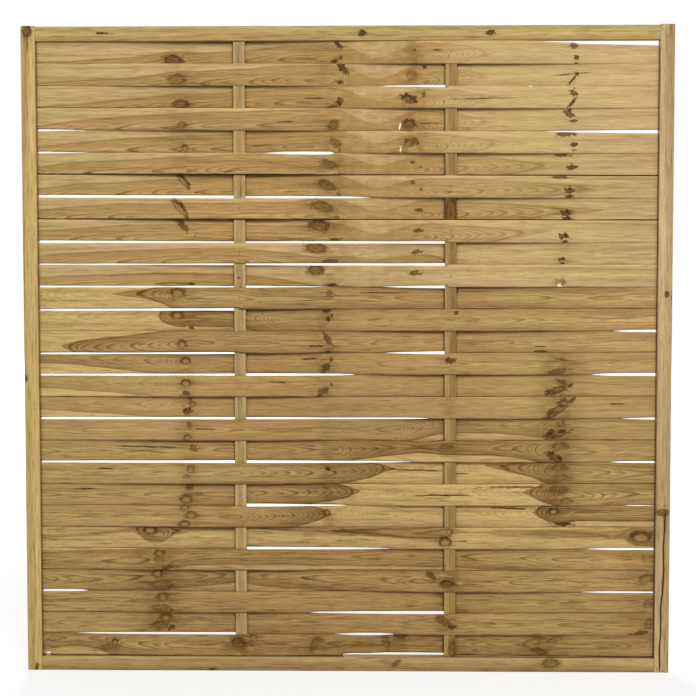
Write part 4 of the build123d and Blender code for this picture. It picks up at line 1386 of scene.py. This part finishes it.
class FENCE_OT_stage(bpy.types.Operator):
    """Camera, white floor and soft daylight"""

    bl_idname = "fence.stage"
    bl_label = "Stage"

    def execute(self, context):
        chosen = settings("fence_stage")
        scene = context.scene
        scene.view_settings.view_transform = "Standard"
        camera = bpy.data.objects.new("camera", bpy.data.cameras.new("camera"))
        camera.data.lens = chosen.lens
        camera.data.sensor_width = SENSOR_WIDTH
        camera.location = chosen.camera_place
        camera.rotation_euler = chosen.camera_turn
        scene.collection.objects.link(camera)
        scene.camera = camera
        self.lamps(scene, chosen)
        self.floor(scene, chosen)
        return {"FINISHED"}

    def lamps(self, scene, chosen):
        """A soft key high in front, a like lamp behind, and an even dome that is white to the camera."""
        for name, power, (place, turn) in (("key", chosen.key, KEY_STAND), ("fill", chosen.fill, FILL_STAND)):
            lamp = bpy.data.lights.new(name, "AREA")
            lamp.size = LAMP_SIZE
            lamp.energy = power
            lit = bpy.data.objects.new(name, lamp)
            lit.location = place
            lit.rotation_euler = [math.radians(angle) for angle in turn]
            scene.collection.objects.link(lit)
        world = bpy.data.worlds.new("daylight")
        world.use_nodes = True
        scene.world = world
        bench = Bench(world.node_tree)
        light = world.node_tree.nodes["Background"]
        light.inputs["Color"].default_value = (1, 1, 1, 1)
        light.inputs["Strength"].default_value = chosen.dome
        white = bench.node("ShaderNodeBackground", {"Color": (1, 1, 1), "Strength": 1.0})
        both = bench.node("ShaderNodeMixShader")
        bench.feed(both.inputs[0], backdrop_share(bench))
        bench.feed(both.inputs[1], light.outputs[0])
        bench.feed(both.inputs[2], white.outputs[0])
        bench.feed(world.node_tree.nodes["World Output"].inputs["Surface"], both.outputs[0])

    def floor(self, scene, chosen):
        """A wide floor, white to the camera, that keeps a soft shadow of the panel."""
        mesh = bpy.data.meshes.new("floor")
        corners = np.array([(-1, -1), (1, -1), (1, 1), (-1, 1)]) * FLOOR_REACH
        mesh.from_pydata(np.column_stack([corners, np.full(4, CAD_LOW.z)]).tolist(), [], [(0, 1, 2, 3)])
        floor = bpy.data.objects.new("floor", mesh)
        scene.collection.objects.link(floor)
        material = bpy.data.materials.new("floor_white")
        material.use_nodes = True
        bench = Bench(material.node_tree)
        shader = material.node_tree.nodes["Principled BSDF"]
        shader.inputs["Base Color"].default_value = (*chosen.floor, 1)
        shader.inputs["Roughness"].default_value = 0.9
        shader.inputs["Specular IOR Level"].default_value = 0.0
        place = bench.node("ShaderNodeTexCoord").outputs["Object"]
        away = bench.node("ShaderNodeVectorMath", {0: place}, operation="LENGTH").outputs["Value"]
        strength = bench.line(bench.step(away, *GLOW_RISE), *GLOW_STRENGTH)
        glow = bench.node("ShaderNodeEmission", {"Color": (1, 1, 1), "Strength": strength})
        both = bench.node("ShaderNodeMixShader")
        bench.feed(both.inputs[0], bench.times(backdrop_share(bench), GLOW_SHARE))
        bench.feed(both.inputs[1], shader.outputs[0])
        bench.feed(both.inputs[2], glow.outputs[0])
        bench.feed(material.node_tree.nodes["Material Output"].inputs["Surface"], both.outputs[0])
        mesh.materials.append(material)


class FENCE_PT_panel(bpy.types.Panel):
    """Lists the steps that dress the fence panel"""

    bl_idname = "FENCE_PT_panel"
    bl_label = "Woven fence panel"
    bl_space_type = "VIEW_3D"
    bl_region_type = "UI"
    bl_category = "Fence"

    def draw(self, context):
        for operator in OPERATORS:
            self.layout.operator(operator.bl_idname)


GROUPS = {
    "fence_slats": SlatSettings, "fence_frame": FrameSettings, "fence_battens": BattenSettings,
    "fence_fixings": FixingSettings, "fence_stage": StageSettings,
}
OPERATORS = (FENCE_OT_stage, FENCE_OT_frame, FENCE_OT_battens, FENCE_OT_slats, FENCE_OT_fixings)


def register():
    for group in GROUPS.values():
        bpy.utils.register_class(group)
    for name, group in GROUPS.items():
        setattr(bpy.types.Scene, name, PointerProperty(type=group))
    for entry in (*OPERATORS, FENCE_PT_panel):
        bpy.utils.register_class(entry)


def unregister():
    for entry in (*OPERATORS, FENCE_PT_panel):
        bpy.utils.unregister_class(entry)
    for name, group in GROUPS.items():
        delattr(bpy.types.Scene, name)
        bpy.utils.unregister_class(group)


def main():
    register()
    bpy.ops.fence.stage()
    bpy.ops.fence.frame()
    bpy.ops.fence.battens()
    bpy.ops.fence.slats()
    bpy.ops.fence.fixings()


if __name__ == "__main__":
    main()
